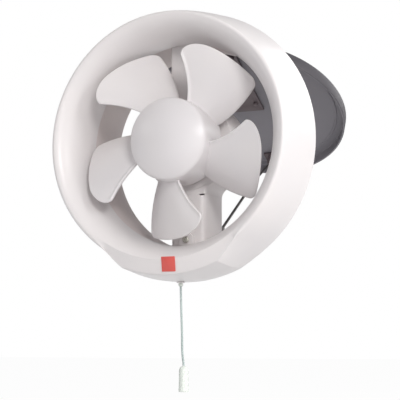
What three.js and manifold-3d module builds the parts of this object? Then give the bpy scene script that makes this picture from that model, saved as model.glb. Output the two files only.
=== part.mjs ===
// Round window exhaust fan with a pull cord and a hinged outdoor shutter, shown with the shutter open.
// Millimetres, +Z up. The fan axis is Y: the room side faces -Y and air leaves towards +Y.
// The origin is the centre of the hole in the window pane, on the pane's room face.

import * as THREE from 'three'
import { mergeVertices } from 'three/addons/utils/BufferGeometryUtils.js'
import Module from 'manifold-3d'

const wasm = await Module()
wasm.setup()

// ---- Driving dimensions ----------------------------------------------------------------------

const gap = 0.3 // running and seating gap between separate pieces

// Window pane and the pieces that grip it
const paneThickness = 5
const innerGasketThickness = 3.1
const innerGasketWidth = 10
const outerGasketThickness = 2.7
const clampSetBack = 3 // how much smaller the clamp is than the indoor flange
const outerGasketSetBack = 1
const clampThickness = 3
const clampCollarLength = 11
const clampCollarWall = 2.6
const clampBoreClearance = 0.5

// Front ring: a bell mouth and an outer band, one hollow moulding
const bandTaper = 11.8 // how much the outer band narrows from rim to crest
const crestDepth = 58.8
const throatStep = 3 // how much the throat stands inside the duct
const throatStart = 27
const throatEnd = 8
const ringWall = 2.6
const bandBulge = 0.2 // share of the band's taper that is spent near the crest

// Chin: the fuller lower part of the ring, which covers the pull switch
const chinSwell = 1.8 // how far the chin stands out past the rim
const chinInnerStep = 8.2 // how far inside the crest the chin's face starts
const chinInnerSetBack = 1.3 // the face's inner edge, behind the crest
const chinLipStep = 4.5
const chinLipSetBack = 3.8 // the face's lip, behind the crest
const chinSideDepth = 20
const chinCornerAngle = 24.2
const chinCrestAngle = 36
const chinBlendAngle = 38

// Duct through the pane
const ductRadius = 105
const ductWall = 3.5
const ductLength = 49
const flangeScrewBand = 12.5 // room for the screws between the duct and the gasket
const flangeClearance = 2.4 // between the flange's edge and the ring's inside
const ductFlangeThickness = 2.6
const seatWidth = 4.5
const seatThickness = 3
const sealThickness = 0.9
const sealClearance = 0.2 // between the seal and the closed lid

// Motor bridge: an upright post across the duct with the motor can in its middle
const postHalfWidth = 19
const postFront = -2
const postRear = 39
const postCornerRadius = 6
const postWall = 2.2
const canRadius = 48
const canWall = 2.2
const canFilletRadius = 12
const rearCoverThickness = 2.2
const coverBelowCan = 2
const coverWall = 2
const spineFront = 22
const lugRadius = 8
const lugProud = 3
const lugFromEnd = 9.2 // the lug's screw from the post's lower end

// Motor
const motorFaceThickness = 2.7
const noseInHub = 1.8 // between the motor's nose and the hub's inside
const noseDepth = 18
const statorInCan = 0.4
const statorBore = 23.2
const statorLength = 22
const statorFront = 6.5
const windingFromRim = 5.4
const windingBore = 28
const windingDepth = 5
const airGap = 0.5
const shaftRadius = 4
const bearingRadius = 9.7
const bearingWidth = 5.8

// Impeller
const bladeCount = 5
const hubRadius = 40.8
const hubDraft = 2 // how much the hub widens to its rear
const hubFront = 49
const hubApex = 61
const hubRear = 14
const hubWall = 2
const bladeTipClearance = 4
const bladeThickness = 2.2
const bladeRearDepth = 14.7 // depth of the trailing edge at the tip, in front of the pane
const bladeRootDrop = 3.7 // how much deeper the trailing edge lies at the hub
const bladeRootPitch = 0.445 // rise per degree of turn at the hub
const bladePitchGain = 0.0058 // growth of that rise per millimetre of radius
const bladeRootCamber = 3.2 // how far the middle of the chord bulges towards the room
const bladeTipCamber = 8
const trailRootAngle = 19.3
const trailSweep = 0.26 // degrees per millimetre of radius
const leadRootAngle = 65.4
const leadSweep = 0.34
const lobeFromTip = 14.5
const lobeTipAngle = 61
const trailCornerFromTip = 5
const trailCornerTurn = 4
const shaftBossRadius = 8
const shaftBossRear = 24
const shaftBoreEnd = 50

// Shutter lid, in its closed place
const lidSetBack = 1 // how much smaller the lid is than its seat
const lidWall = 2
const lidDepth = 14.2
const lidFloor = 2.2
const lidOpenAngle = 62
const hingeAboveSeat = 3
const hingeBehindSeat = 5.5
const hingePinRadius = 1.6
const knuckleRadius = 3.2
const hingePlateHalfWidth = 19
const hingePlateThickness = 2.5
const hingePlateEnd = -3.5
const earThickness = 3
const rivetRadius = 1.7

// Stay that holds the lid open: a crank arm on the post and a link on the lid
const stayRodRadius = 1.5
const stayEyeRadius = 3.6
const stayEyeThickness = 3
const stayPinRadius = 1.6
const crankX = 15.5
const crankElbowX = 9.5
const linkElbowX = 5.5
const crankFromEnd = 22.6 // the crank's pivot from the post's lower end
const crankBehindCover = 5.4
const lidPivotFromRim = 20
const lidPivotAhead = 10.9
const stayBend = 0.2 // how much longer than the straight distance the two arms are together
const clevisHalfGap = 2.2
const clevisEarThickness = 2.2

// Pull switch and cord
const cordX = -1
const cordY = -15
const cordDiameter = 2.3
const cordSides = 8
const cordStep = 6
const switchWidth = 30
const switchDepth = 16
const switchBelowBell = 4.4
const switchHeight = 18
const switchWall = 2.2
const plungerRadius = 1.5
const plungerCollarRadius = 4.4
const knobLength = 25
const knobRadius = 5.2
const grommetFlange = 0.9

// Fasteners
const screwRadius = 1.7
const screwHeadRadius = 3.4
const screwHeadHeight = 2
const screwHoleRadius = 2.1
const flangeScrewFromDuct = 7.5
const bossRadius = 4.2

// Facets round each kind of circle
const largeFacets = 48
const mediumFacets = 32
const smallFacets = 10

// ---- Sizes that follow from the driving dimensions --------------------------------------------

const rad = THREE.MathUtils.degToRad
const ductOuter = ductRadius + ductWall
const flangeScrewCircle = ductOuter + flangeScrewFromDuct
const ductFlangeRadius = ductOuter + flangeScrewBand + innerGasketWidth
const rimRadius = ductFlangeRadius + flangeClearance + ringWall
const crestRadius = rimRadius - bandTaper
const throatRadius = ductRadius - throatStep
const chinRadius = rimRadius + chinSwell
const chinLipRadius = chinRadius - chinLipStep
const chinInnerRadius = crestRadius - chinInnerStep
const chinInnerDepth = crestDepth - chinInnerSetBack
const chinLipDepth = crestDepth - chinLipSetBack
const clampRadius = ductFlangeRadius - clampSetBack
const outerGasketRadius = clampRadius - outerGasketSetBack
const seatRadius = ductOuter + seatWidth
const lidRadius = seatRadius - lidSetBack
const hingeHeight = seatRadius + hingeAboveSeat
const bladeTipRadius = throatRadius - bladeTipClearance
const lobeRadius = bladeTipRadius - lobeFromTip
const trailCornerRadius = bladeTipRadius - trailCornerFromTip
const coverTop = -canRadius - coverBelowCan
const switchTop = -throatRadius - ringWall - switchBelowBell
const ductFront = -throatEnd + gap
const flangeRear = -innerGasketThickness - gap
const flangeFront = flangeRear - ductFlangeThickness
const seatRear = ductLength
const lidPlane = seatRear + gap + sealThickness + sealClearance
const lidBack = lidPlane + lidDepth
const lidInner = lidBack - lidFloor
const lidInnerRadius = lidRadius - lidWall
const hingeY = seatRear + hingeBehindSeat
const hubRearRadius = hubRadius + hubDraft
const noseRadius = hubRadius - hubWall - noseInHub
const statorRadius = canRadius - canWall - statorInCan
const windingRadius = statorRadius - windingFromRim
const rotorRadius = statorBore - airGap
const postReach = ductRadius - gap
const lugHeight = -postReach + lugFromEnd
const crankHeight = -postReach + crankFromEnd
const lidPivotHeight = -lidInnerRadius + lidPivotFromRim
const coverRear = postRear + gap
const coverBack = coverRear + rearCoverThickness
const canFront = postFront
const motorFaceFront = canFront
const motorPlateRadius = canRadius - canWall - gap
const noseFront = motorFaceFront - noseDepth
const paneRear = paneThickness
const clampFront = paneRear + outerGasketThickness + gap
const clampBack = clampFront + clampThickness
const collarBack = clampBack + clampCollarLength
const clampBore = ductOuter + clampBoreClearance
const crankPivot = new THREE.Vector2(coverBack + crankBehindCover, crankHeight)
const hinge = new THREE.Vector2(hingeY, hingeHeight)
const lidPivotClosed = new THREE.Vector2(lidInner - lidPivotAhead, lidPivotHeight)
const lidPivotOpen = lidPivotClosed.clone().rotateAround(hinge, rad(lidOpenAngle))
const channelEnd = postReach - 2 * postWall
const spineHalf = postHalfWidth - coverWall - 0.4
const plungerTop = switchTop - switchWall - gap
const plungerLength = 20
const cordTop = plungerTop - plungerLength - gap

// ---- Geometry helpers -------------------------------------------------------------------------

// A closed solid from any three.js geometry whose faces meet edge to edge.
function solidOf(geometry) {
  const bare = geometry.clone()
  bare.deleteAttribute('normal')
  bare.deleteAttribute('uv')
  const merged = mergeVertices(bare, 1e-3)
  const place = merged.attributes.position
  const corners = []
  const a = new THREE.Vector3()
  const b = new THREE.Vector3()
  const c = new THREE.Vector3()
  let volume = 0
  for (let i = 0; i < merged.index.count; i += 3) {
    const triple = [merged.index.getX(i), merged.index.getX(i + 1), merged.index.getX(i + 2)]
    if (new Set(triple).size < 3) continue
    corners.push(triple)
    a.fromBufferAttribute(place, triple[0])
    b.fromBufferAttribute(place, triple[1])
    c.fromBufferAttribute(place, triple[2])
    volume += a.dot(b.cross(c))
  }
  const facing = volume > 0 ? corners : corners.map(([p, q, r]) => [p, r, q])
  const vertProperties = Float32Array.from(place.array)
  const triVerts = Uint32Array.from(facing.flat())
  return new wasm.Manifold(new wasm.Mesh({ numProp: 3, vertProperties, triVerts }))
}

function geometryOf(solid) {
  const mesh = solid.getMesh()
  const geometry = new THREE.BufferGeometry()
  geometry.setAttribute('position', new THREE.BufferAttribute(Float32Array.from(mesh.vertProperties), 3))
  geometry.setIndex(Array.from(mesh.triVerts))
  geometry.computeVertexNormals()
  return geometry
}

function join(...solids) {
  return solids.reduce((whole, next) => whole.add(next))
}

function cut(solid, ...tools) {
  return tools.reduce((rest, tool) => rest.subtract(tool), solid)
}

// A solid of revolution round Y. Each pair is [radius, y].
function revolve(pairs, facets, closeOnItself = true) {
  const points = pairs.map(([radius, y]) => new THREE.Vector2(radius, y))
  if (closeOnItself) points.push(points[0].clone())
  return solidOf(new THREE.LatheGeometry(points, facets))
}

function ring(innerRadius, outerRadius, low, high, facets) {
  const section = [[innerRadius, low], [outerRadius, low], [outerRadius, high], [innerRadius, high]]
  return revolve(section, facets)
}

function disc(radius, low, high, facets) {
  return revolve([[0, low], [radius, low], [radius, high], [0, high]], facets, false)
}

function box(low, high) {
  const size = high.map((value, i) => value - low[i])
  const geometry = new THREE.BoxGeometry(...size)
  geometry.translate(...low.map((value, i) => value + size[i] / 2))
  return solidOf(geometry)
}

// A straight rod between two points.
function rod(from, to, radius, facets = smallFacets) {
  const start = new THREE.Vector3(...from)
  const end = new THREE.Vector3(...to)
  const along = end.clone().sub(start)
  const geometry = new THREE.CylinderGeometry(radius, radius, along.length(), facets)
  const turn = new THREE.Quaternion().setFromUnitVectors(new THREE.Vector3(0, 1, 0), along.clone().normalize())
  geometry.applyQuaternion(turn)
  geometry.translate(...start.add(end).multiplyScalar(0.5).toArray())
  return solidOf(geometry)
}

// An outline in the Y-Z plane, given as [y, z] pairs, made thick along X.
function plateAcrossX(pairs, lowX, highX) {
  const shape = new THREE.Shape(pairs.map(([y, z]) => new THREE.Vector2(y, z)))
  const geometry = new THREE.ExtrudeGeometry(shape, { depth: highX - lowX, bevelEnabled: false })
  geometry.applyMatrix4(new THREE.Matrix4().set(0, 0, 1, lowX, 1, 0, 0, 0, 0, 1, 0, 0, 0, 0, 0, 1))
  return solidOf(geometry)
}

// An outline in the X-Z plane, given as a Shape with x and z, made thick along Y.
function plateAcrossY(shape, lowY, highY, curveSegments = 8) {
  const geometry = new THREE.ExtrudeGeometry(shape, { depth: highY - lowY, bevelEnabled: false, curveSegments })
  geometry.applyMatrix4(new THREE.Matrix4().set(1, 0, 0, 0, 0, 0, 1, lowY, 0, 1, 0, 0, 0, 0, 0, 1))
  return solidOf(geometry)
}

function polar(radius, angle) {
  return [radius * Math.cos(rad(angle)), radius * Math.sin(rad(angle))]
}

// A pan-head screw along the direction from its seat: head outside the seat, shank inwards.
function screw(seat, inward, length) {
  const dir = new THREE.Vector3(...inward).normalize()
  const at = (distance) => new THREE.Vector3(...seat).addScaledVector(dir, distance).toArray()
  const head = rod(at(-gap - screwHeadHeight), at(-gap), screwHeadRadius)
  const shank = rod(at(-gap - screwHeadHeight / 2), at(length), screwRadius)
  return join(head, shank)
}

// ---- Front ring -------------------------------------------------------------------------------

const bellWidth = crestRadius - throatRadius
const bellDepth = crestDepth - throatStart

function bandRadius(y) {
  const share = -y / crestDepth
  return rimRadius + (crestRadius - rimRadius) * ((1 - bandBulge) * share + bandBulge * share ** 4)
}

// The angle where the chin's flat face ends. It swings out from the lip to the crest, so the face
// ends on a slanting edge.
function chinCorner(radius) {
  const lean = THREE.MathUtils.clamp((chinLipRadius - radius) / (chinLipRadius - crestRadius), 0, 1)
  return THREE.MathUtils.lerp(chinCornerAngle, chinCrestAngle, lean)
}

// A point of the chin's flat front face, from its inner edge (0) to the lip (1).
function chinFace(along, inset) {
  const start = new THREE.Vector2(chinInnerRadius, -chinInnerDepth)
  const end = new THREE.Vector2(chinLipRadius, -chinLipDepth)
  const inward = end.clone().sub(start).normalize().rotateAround(new THREE.Vector2(), Math.PI / 2)
  return start.lerp(end, along).addScaledVector(inward, inset).toArray()
}

function bellPoint(turn, offset) {
  const t = rad(turn)
  const normal = new THREE.Vector2(bellDepth * Math.cos(t), bellWidth * Math.sin(t)).normalize()
  const radius = throatRadius + bellWidth * (1 - Math.cos(t))
  const y = -throatStart - bellDepth * Math.sin(t)
  return [radius + offset * normal.x, y + offset * normal.y]
}

const bossSetBack = 5.8 // how far behind the crest the bosses and the inside corner lie
const bandBreak = 10 // depth of the extra station that gives the band its swell
const bandBend = 37 // depth of the station between the lip and the chin's straight side
const faceBend = 57 // depth of the station that meets the chin's face near its lip

// The ring's section as a closed loop. Each station is a plain [radius, y], the chin's own, and the
// radius that sets the chin's corner there.
function ringStations() {
  const band = (y, inset) => [bandRadius(y) - inset, y]
  const wall = ringWall
  const outer = [
    [bellPoint(72, 0), chinFace(0, 0), chinInnerRadius],
    [band(-crestDepth, 0), chinFace(0.4, 0), crestRadius],
    [band(-faceBend, 0), chinFace(0.75, 0), chinFace(0.75, 0)[0]],
    [band(-chinLipDepth, 0), chinFace(1, 0), chinLipRadius],
    [band(-bandBend, 0), [(chinLipRadius + chinRadius) / 2, -bandBend], chinLipRadius],
    [band(-chinSideDepth, 0), [chinRadius, -chinSideDepth], chinLipRadius],
    [band(-bandBreak, 0), [chinRadius, -bandBreak], chinLipRadius],
    [band(0, 0), [chinRadius, 0], chinLipRadius],
  ]
  const inner = [
    [band(0, wall), [chinRadius - wall, 0], chinLipRadius],
    [band(-chinSideDepth, wall), [chinRadius - wall, -chinSideDepth], chinLipRadius],
    [band(-bandBend, wall), [chinLipRadius - wall, -chinLipDepth + wall], chinLipRadius],
    [band(bossSetBack - crestDepth, wall), chinFace(0.5, wall), crestRadius],
    [bellPoint(78, wall), chinFace(0.15, wall), chinInnerRadius],
  ]
  const same = (point) => [point, point, chinInnerRadius]
  return [
    same([throatRadius, -throatEnd]),
    same([throatRadius, -throatStart]),
    ...[18, 36, 54].map((turn) => same(bellPoint(turn, 0))),
    ...outer,
    ...inner,
    ...[54, 27, 0].map((turn) => same(bellPoint(turn, wall))),
    same([throatRadius + wall, -throatEnd]),
  ]
}

// One column of the ring as points. The place runs 0 to 1 over half the chin, 1 to 2 through its
// blend and 2 to 3 round to the top, and each point turns by the angle that its row has there.
function ringColumn(place, side) {
  return ringStations().flatMap(([plain, chin, cornerRadius]) => {
    const corner = chinCorner(cornerRadius)
    const stops = [0, corner, chinBlendAngle, 180]
    const stretch = Math.min(Math.floor(place), 2)
    const angle = THREE.MathUtils.lerp(stops[stretch], stops[stretch + 1], place - stretch)
    const share = THREE.MathUtils.clamp(2 - place, 0, 1) ** 2
    const [radius, y] = plain.map((value, i) => value + (chin[i] - value) * share)
    const turn = side * rad(angle)
    return [radius * Math.sin(turn), y, -radius * Math.cos(turn)]
  })
}

function ringPlaces() {
  const steps = [6, 5, 17]
  const places = steps.flatMap((count, stretch) => Array.from({ length: count }, (_, i) => stretch + i / count))
  return [...places, steps.length]
}

function ringShell() {
  const places = ringPlaces()
  const half = places.map((place) => ringColumn(place, 1))
  const mirrored = places.slice(1, -1).reverse().map((place) => ringColumn(place, -1))
  const columns = [...half, ...mirrored]
  const rows = ringStations().length
  const positions = columns.flat()
  const index = []
  for (let column = 0; column < columns.length; column += 1) {
    const next = (column + 1) % columns.length
    for (let row = 0; row < rows; row += 1) {
      const above = (row + 1) % rows
      const corners = [column * rows + row, next * rows + row, next * rows + above, column * rows + above]
      index.push(corners[0], corners[1], corners[2], corners[0], corners[2], corners[3])
    }
  }
  const geometry = new THREE.BufferGeometry()
  geometry.setAttribute('position', new THREE.Float32BufferAttribute(positions, 3))
  geometry.setIndex(index)
  return solidOf(geometry)
}

const flangeScrewAngles = [45, 135, 225, 315]
const glandAngle = 208
const glandY = -12
const grommetHoleRadius = 2.9
const glandHoleRadius = 4.4

function frontRing() {
  let shell = ringShell()
  const bossTop = bossSetBack - crestDepth
  for (const angle of flangeScrewAngles) {
    const [x, z] = polar(flangeScrewCircle, angle)
    const boss = rod([x, bossTop, z], [x, flangeFront - gap, z], bossRadius)
    shell = join(shell, boss)
    shell = cut(shell, rod([x, flangeFront - 14, z], [x, 0, z], screwHoleRadius))
  }
  const standoffTop = -throatRadius - ringWall / 2
  for (const x of [cordX - switchWidth / 2 + 5, cordX + switchWidth / 2 - 5]) {
    const low = [x - 2.5, cordY - 4, switchTop + gap]
    const high = [x + 2.5, cordY + 4, standoffTop]
    shell = join(shell, box(low, high))
  }
  const holeLow = [cordX, cordY, -chinRadius - 2]
  const cordHole = rod(holeLow, [cordX, cordY, switchTop - switchHeight - 2], grommetHoleRadius)
  const [gx, gz] = polar(1, glandAngle)
  const start = bandRadius(glandY) - 3 * ringWall
  const end = bandRadius(glandY) + ringWall
  const glandHole = rod([start * gx, glandY, start * gz], [end * gx, glandY, end * gz], glandHoleRadius)
  return cut(shell, cordHole, glandHole)
}

// A thin bare square badge that lies flat on the chin's front face.
const badgeSize = 14.4
const badgeThickness = 0.5
const badgeLift = 0.35
const badgeX = 5.7
const badgeAlong = 0.41 // place across the chin's face, from its inner edge (0) to the lip (1)

function supplyGland() {
  const [gx, gz] = polar(1, glandAngle)
  const surface = bandRadius(glandY)
  const at = (radius) => [radius * gx, glandY, radius * gz]
  const body = rod(at(surface - 2.5 * ringWall), at(surface + 2.4), glandHoleRadius - gap)
  const flange = rod(at(surface + 1.6), at(surface + 3.4), glandHoleRadius + 2)
  return cut(join(body, flange), rod(at(surface - 4 * ringWall), at(surface + 6), 2.4))
}

// ---- Duct, gaskets and outdoor clamp ----------------------------------------------------------

const clampScrewAngles = [45, 135, 225, 315]
const bridgeScrewY = 30

function duct() {
  const section = [
    [ductRadius, ductFront], [ductOuter, ductFront], [ductOuter, flangeFront], [ductFlangeRadius, flangeFront],
    [ductFlangeRadius, flangeRear], [ductOuter, flangeRear], [ductOuter, seatRear - seatThickness],
    [seatRadius, seatRear - seatThickness], [seatRadius, seatRear], [ductRadius, seatRear],
  ]
  let tube = revolve(section, largeFacets)
  for (const angle of flangeScrewAngles) {
    const [x, z] = polar(flangeScrewCircle, angle)
    tube = cut(tube, rod([x, flangeFront - 2, z], [x, flangeRear + 2, z], screwHoleRadius))
  }
  for (const end of [1, -1]) {
    const from = [0, bridgeScrewY, end * (ductRadius - 3)]
    tube = cut(tube, rod(from, [0, bridgeScrewY, end * (ductOuter + 3)], screwHoleRadius))
  }
  return tube
}

function innerGasket() {
  const outer = ductFlangeRadius
  return ring(outer - innerGasketWidth, outer, flangeRear + gap, 0, largeFacets)
}

function outerGasket() {
  return ring(clampBore + 2, outerGasketRadius, paneRear, clampFront - gap, largeFacets)
}

const collarScrewY = clampBack + clampCollarLength / 2

function clampRing() {
  const collarRadius = clampBore + clampCollarWall
  const section = [
    [clampBore, clampFront], [clampRadius, clampFront], [clampRadius, clampBack], [collarRadius, clampBack],
    [collarRadius, collarBack], [clampBore, collarBack],
  ]
  let clamp = revolve(section, largeFacets)
  for (const angle of clampScrewAngles) {
    const [x, z] = polar(1, angle)
    const low = clampBore - 2
    const high = clampBore + clampCollarWall + 2
    const from = [low * x, collarScrewY, low * z]
    clamp = cut(clamp, rod(from, [high * x, collarScrewY, high * z], screwHoleRadius))
  }
  return clamp
}

// A grub-pointed screw through the clamp's collar that bears on the duct's outer wall.
function clampScrew(angle) {
  const [x, z] = polar(1, angle)
  const seat = clampBore + clampCollarWall
  const length = seat - ductOuter - gap
  return screw([seat * x, collarScrewY, seat * z], [-x, 0, -z], length)
}

function lidSeal() {
  return ring(ductRadius + 1.5, seatRadius - 0.5, seatRear + gap, seatRear + gap + sealThickness, largeFacets)
}

// ---- Motor bridge -----------------------------------------------------------------------------

// The post's cross-section, an X-Y outline with round front corners, made tall along Z.
function upright(halfWidth, front, rear, cornerRadius, low, high) {
  const shape = new THREE.Shape()
  shape.moveTo(-halfWidth, rear)
  shape.lineTo(-halfWidth, front + cornerRadius)
  shape.absarc(-halfWidth + cornerRadius, front + cornerRadius, cornerRadius, Math.PI, 1.5 * Math.PI, false)
  shape.absarc(halfWidth - cornerRadius, front + cornerRadius, cornerRadius, 1.5 * Math.PI, 2 * Math.PI, false)
  shape.lineTo(halfWidth, rear)
  shape.closePath()
  const settings = { depth: high - low, bevelEnabled: false, curveSegments: 5 }
  const geometry = new THREE.ExtrudeGeometry(shape, settings)
  geometry.translate(0, 0, low)
  return solidOf(geometry)
}

// Fills the corner between the post's side and the can with a hollow curve.
function canFillet(sideX, sideZ, low, high) {
  const centreX = postHalfWidth + canFilletRadius
  const reach = canRadius + canFilletRadius
  const centreZ = Math.sqrt(reach ** 2 - centreX ** 2)
  const touch = Math.atan2(-centreZ, -centreX)
  const shape = new THREE.Shape()
  shape.moveTo(postHalfWidth / 2, centreZ)
  shape.absarc(centreX, centreZ, canFilletRadius, Math.PI, touch + 2 * Math.PI, false)
  shape.lineTo(postHalfWidth / 2, canRadius / 2)
  shape.closePath()
  const geometry = new THREE.ExtrudeGeometry(shape, { depth: high - low, bevelEnabled: false, curveSegments: 5 })
  geometry.applyMatrix4(new THREE.Matrix4().set(sideX, 0, 0, 0, 0, 0, 1, low, 0, sideZ, 0, 0, 0, 0, 0, 1))
  return solidOf(geometry)
}

function fillets(low, high) {
  const corners = [[1, 1], [-1, 1], [1, -1], [-1, -1]]
  return join(...corners.map(([sideX, sideZ]) => canFillet(sideX, sideZ, low, high)))
}

const rearScrewHeights = [postReach - 18.7, 12.7 - postReach]
const rearScrewLength = 10
const coverScrewLength = 15
const spineTop = -canRadius + postWall - 0.1

function motorBridge() {
  const reach = disc(postReach, postFront - 1, postRear, largeFacets)
  const post = upright(postHalfWidth, postFront, postRear, postCornerRadius, coverTop + gap, postReach)
  const can = disc(canRadius, canFront, postRear, mediumFacets)
  const aboveLow = [-canRadius - 1, canFront - 1, coverTop + gap]
  const above = box(aboveLow, [canRadius + 1, postRear + 1, postReach + 1])
  const filled = join(post.intersect(reach), can, fillets(postFront + postCornerRadius, postRear))
  const outside = filled.intersect(above)
  const innerHalf = postHalfWidth - postWall
  const innerCorner = postCornerRadius - postWall
  const channel = upright(innerHalf, postFront + postWall, postRear + 5, innerCorner, coverTop - 1, channelEnd)
  const bay = disc(canRadius - canWall, canFront - 5, postRear + 5, mediumFacets)
  const shell = cut(outside, channel, bay)

  const spineBlock = box([-spineHalf, spineFront, -postReach], [spineHalf, postRear, spineTop])
  const collar = box([-postHalfWidth + 1, spineFront, coverTop + gap], [postHalfWidth - 1, postRear, spineTop])
  const bayHalf = spineHalf - postWall
  const spineBay = box([-bayHalf, spineFront + postWall, -channelEnd], [bayHalf, postRear + 5, spineTop + 5])
  const spine = cut(join(spineBlock, collar).intersect(reach), spineBay)
  const pillarFront = postFront + coverWall + gap
  const pillar = rod([0, pillarFront, lugHeight], [0, spineFront + 1, lugHeight], bossRadius)
  const pillarHole = rod([0, pillarFront - 1, lugHeight], [0, spineFront - 1, lugHeight], screwHoleRadius)

  let bridge = cut(join(shell, spine, pillar), pillarHole)
  for (const z of rearScrewHeights) {
    const wall = (z > 0 ? postFront : spineFront) + postWall
    const boss = rod([0, wall - 0.5, z], [0, postRear, z], bossRadius - 0.6)
    const hole = rod([0, postRear - rearScrewLength - 1, z], [0, postRear + 3, z], screwHoleRadius)
    bridge = cut(join(bridge, boss), hole)
  }
  for (const end of [1, -1]) {
    const from = [0, bridgeScrewY, end * (channelEnd - 1)]
    bridge = cut(bridge, rod(from, [0, bridgeScrewY, end * (postReach + 3)], screwHoleRadius))
  }
  return bridge
}

// A screw through the duct's wall into one end of the post.
function bridgeScrew(end) {
  return screw([0, bridgeScrewY, end * ductOuter], [0, 0, -end], ductOuter - channelEnd)
}

// The removable front of the lower post, with a round-topped lug for its screw.
function postCover() {
  const reach = disc(postReach, postFront - lugProud - 1, postRear, largeFacets)
  const outside = upright(postHalfWidth, postFront, postRear - gap, postCornerRadius, -postReach, coverTop)
  const innerHalf = postHalfWidth - coverWall
  const innerCorner = postCornerRadius - coverWall
  const innerFront = postFront + coverWall
  const inside = upright(innerHalf, innerFront, postRear + 5, innerCorner, -postReach - 5, coverTop + 5)
  const lugTop = rod([0, postFront - lugProud, lugHeight], [0, postFront + 1, lugHeight], lugRadius, 24)
  const lugLow = [-lugRadius, postFront - lugProud, -postReach]
  const lugHigh = [lugRadius, postFront + 1, lugHeight]
  const lug = join(lugTop, box(lugLow, lugHigh)).intersect(reach)
  const holeFront = [0, postFront - lugProud - 2, lugHeight]
  const hole = rod(holeFront, [0, innerFront + 2, lugHeight], screwHoleRadius)
  return cut(join(cut(outside.intersect(reach), inside), lug), hole)
}

function postCoverScrew() {
  return screw([0, postFront - lugProud, lugHeight], [0, 1, 0], coverScrewLength)
}

const rearBearingFront = 29.5

// The flat cover behind the post and can, with the rear bearing's seat on its inside.
function bridgeRearCover() {
  const reach = disc(postReach, coverRear, coverBack, largeFacets)
  const plank = box([-postHalfWidth, coverRear, -postReach], [postHalfWidth, coverBack, postReach])
  const post = plank.intersect(reach)
  const middle = disc(canRadius, coverRear, coverBack, mediumFacets)
  const plate = join(post, middle, fillets(coverRear, coverBack))
  const seatInner = bearingRadius + gap
  const seatFloor = rearBearingFront + bearingWidth + gap
  const cup = ring(seatInner, seatInner + 2.2, rearBearingFront, coverRear + 1, mediumFacets)
  const floor = ring(shaftRadius + 1.5, seatInner + 1, seatFloor, seatFloor + 1.6, mediumFacets)
  let cover = join(plate, cup, floor)
  for (const z of rearScrewHeights) {
    cover = cut(cover, rod([0, coverRear - 2, z], [0, coverBack + 2, z], screwHoleRadius))
  }
  return cover
}

function rearCoverScrew(z) {
  return screw([0, coverBack, z], [0, -1, 0], rearCoverThickness + rearScrewLength)
}

// ---- Motor ------------------------------------------------------------------------------------

const noseWall = 2.2
const spigotLength = 4
const frontBearingFront = noseFront + noseWall

function motorFrontCover() {
  const face = motorFaceFront + motorFaceThickness
  const spigotInner = motorPlateRadius - 2
  const seatOuter = bearingRadius + gap + noseWall
  return revolve([
    [shaftRadius + 1, noseFront], [noseRadius - 1.5, noseFront], [noseRadius, noseFront + 1.5],
    [noseRadius, motorFaceFront], [motorPlateRadius, motorFaceFront],
    [motorPlateRadius, face + spigotLength], [spigotInner, face + spigotLength], [spigotInner, face],
    [noseRadius - noseWall, face], [noseRadius - noseWall, noseFront + noseWall],
    [seatOuter, noseFront + noseWall], [seatOuter, frontBearingFront + bearingWidth],
    [bearingRadius + gap, frontBearingFront + bearingWidth], [bearingRadius + gap, frontBearingFront],
    [shaftRadius + 1, frontBearingFront],
  ], mediumFacets)
}

function bearing(front) {
  return ring(shaftRadius + gap, bearingRadius, front + gap, front + bearingWidth, 24)
}

const statorSlots = 8

function statorCore() {
  const rear = statorFront + statorLength
  let core = ring(statorBore, statorRadius, statorFront, rear, mediumFacets)
  for (let i = 0; i < statorSlots; i += 1) {
    const slot = box([-3, statorFront - 1, statorBore - 1], [3, rear + 1, windingRadius - 3])
    core = cut(core, slot.rotate([0, 360 * i / statorSlots, 0]))
  }
  return core
}

function winding(front) {
  const middle = (windingRadius + windingBore) / 2
  const half = (windingRadius - windingBore) / 2
  const section = []
  const sides = 8
  for (let i = 0; i < sides; i += 1) {
    const turn = 2 * Math.PI * i / sides
    section.push([middle + half * Math.cos(turn), front + windingDepth / 2 * (1 + Math.sin(turn))])
  }
  return revolve(section, 24)
}

function rotor() {
  return ring(shaftRadius + gap, rotorRadius, statorFront, statorFront + statorLength, mediumFacets)
}

function motorShaft() {
  return disc(shaftRadius, -shaftBoreEnd + gap, rearBearingFront + bearingWidth, 20)
}

function capacitor() {
  const front = postFront + postWall + gap
  return box([-11, front, canRadius + 6], [11, front + 15, rearScrewHeights[0] - 8])
}

const terminalTop = coverTop - 4
const terminalHeight = 12
const actuatorTop = terminalTop - terminalHeight - 2

function terminalBlock() {
  const front = spineFront + postWall + gap
  const middle = terminalTop - terminalHeight / 2
  const block = box([-9, front, terminalTop - terminalHeight], [9, front + 8, terminalTop])
  return cut(block, ...[-4, 4].map((x) => rod([x, front + 3, middle], [x, front + 9, middle], 2)))
}

function shutterActuator() {
  const front = spineFront + postWall + gap
  return box([-12, front, rearScrewHeights[1] + 6], [12, front + 11, actuatorTop])
}

// ---- Impeller ---------------------------------------------------------------------------------

function hubOuter(y) {
  return THREE.MathUtils.mapLinear(-y, hubFront, hubRear, hubRadius, hubRearRadius)
}

function hub() {
  const capRadius = (hubRadius ** 2 + (hubApex - hubFront) ** 2) / (2 * (hubApex - hubFront))
  const cap = (radius, thickness) => -hubApex + capRadius - Math.sqrt((capRadius - thickness) ** 2 - radius ** 2)
  const outside = [0, 8, 16, 24, 32, 38, hubRadius].map((radius) => [radius, cap(radius, 0)])
  const inside = [hubRadius - hubWall, 28, shaftBossRadius].map((radius) => [radius, cap(radius, hubWall)])
  return revolve([
    ...outside, [hubRearRadius, -hubRear], [hubRearRadius - hubWall, -hubRear], ...inside,
    [shaftBossRadius, -shaftBossRear], [shaftRadius + gap, -shaftBossRear],
    [shaftRadius + gap, -shaftBoreEnd], [0, -shaftBoreEnd],
  ], mediumFacets, false)
}

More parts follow.
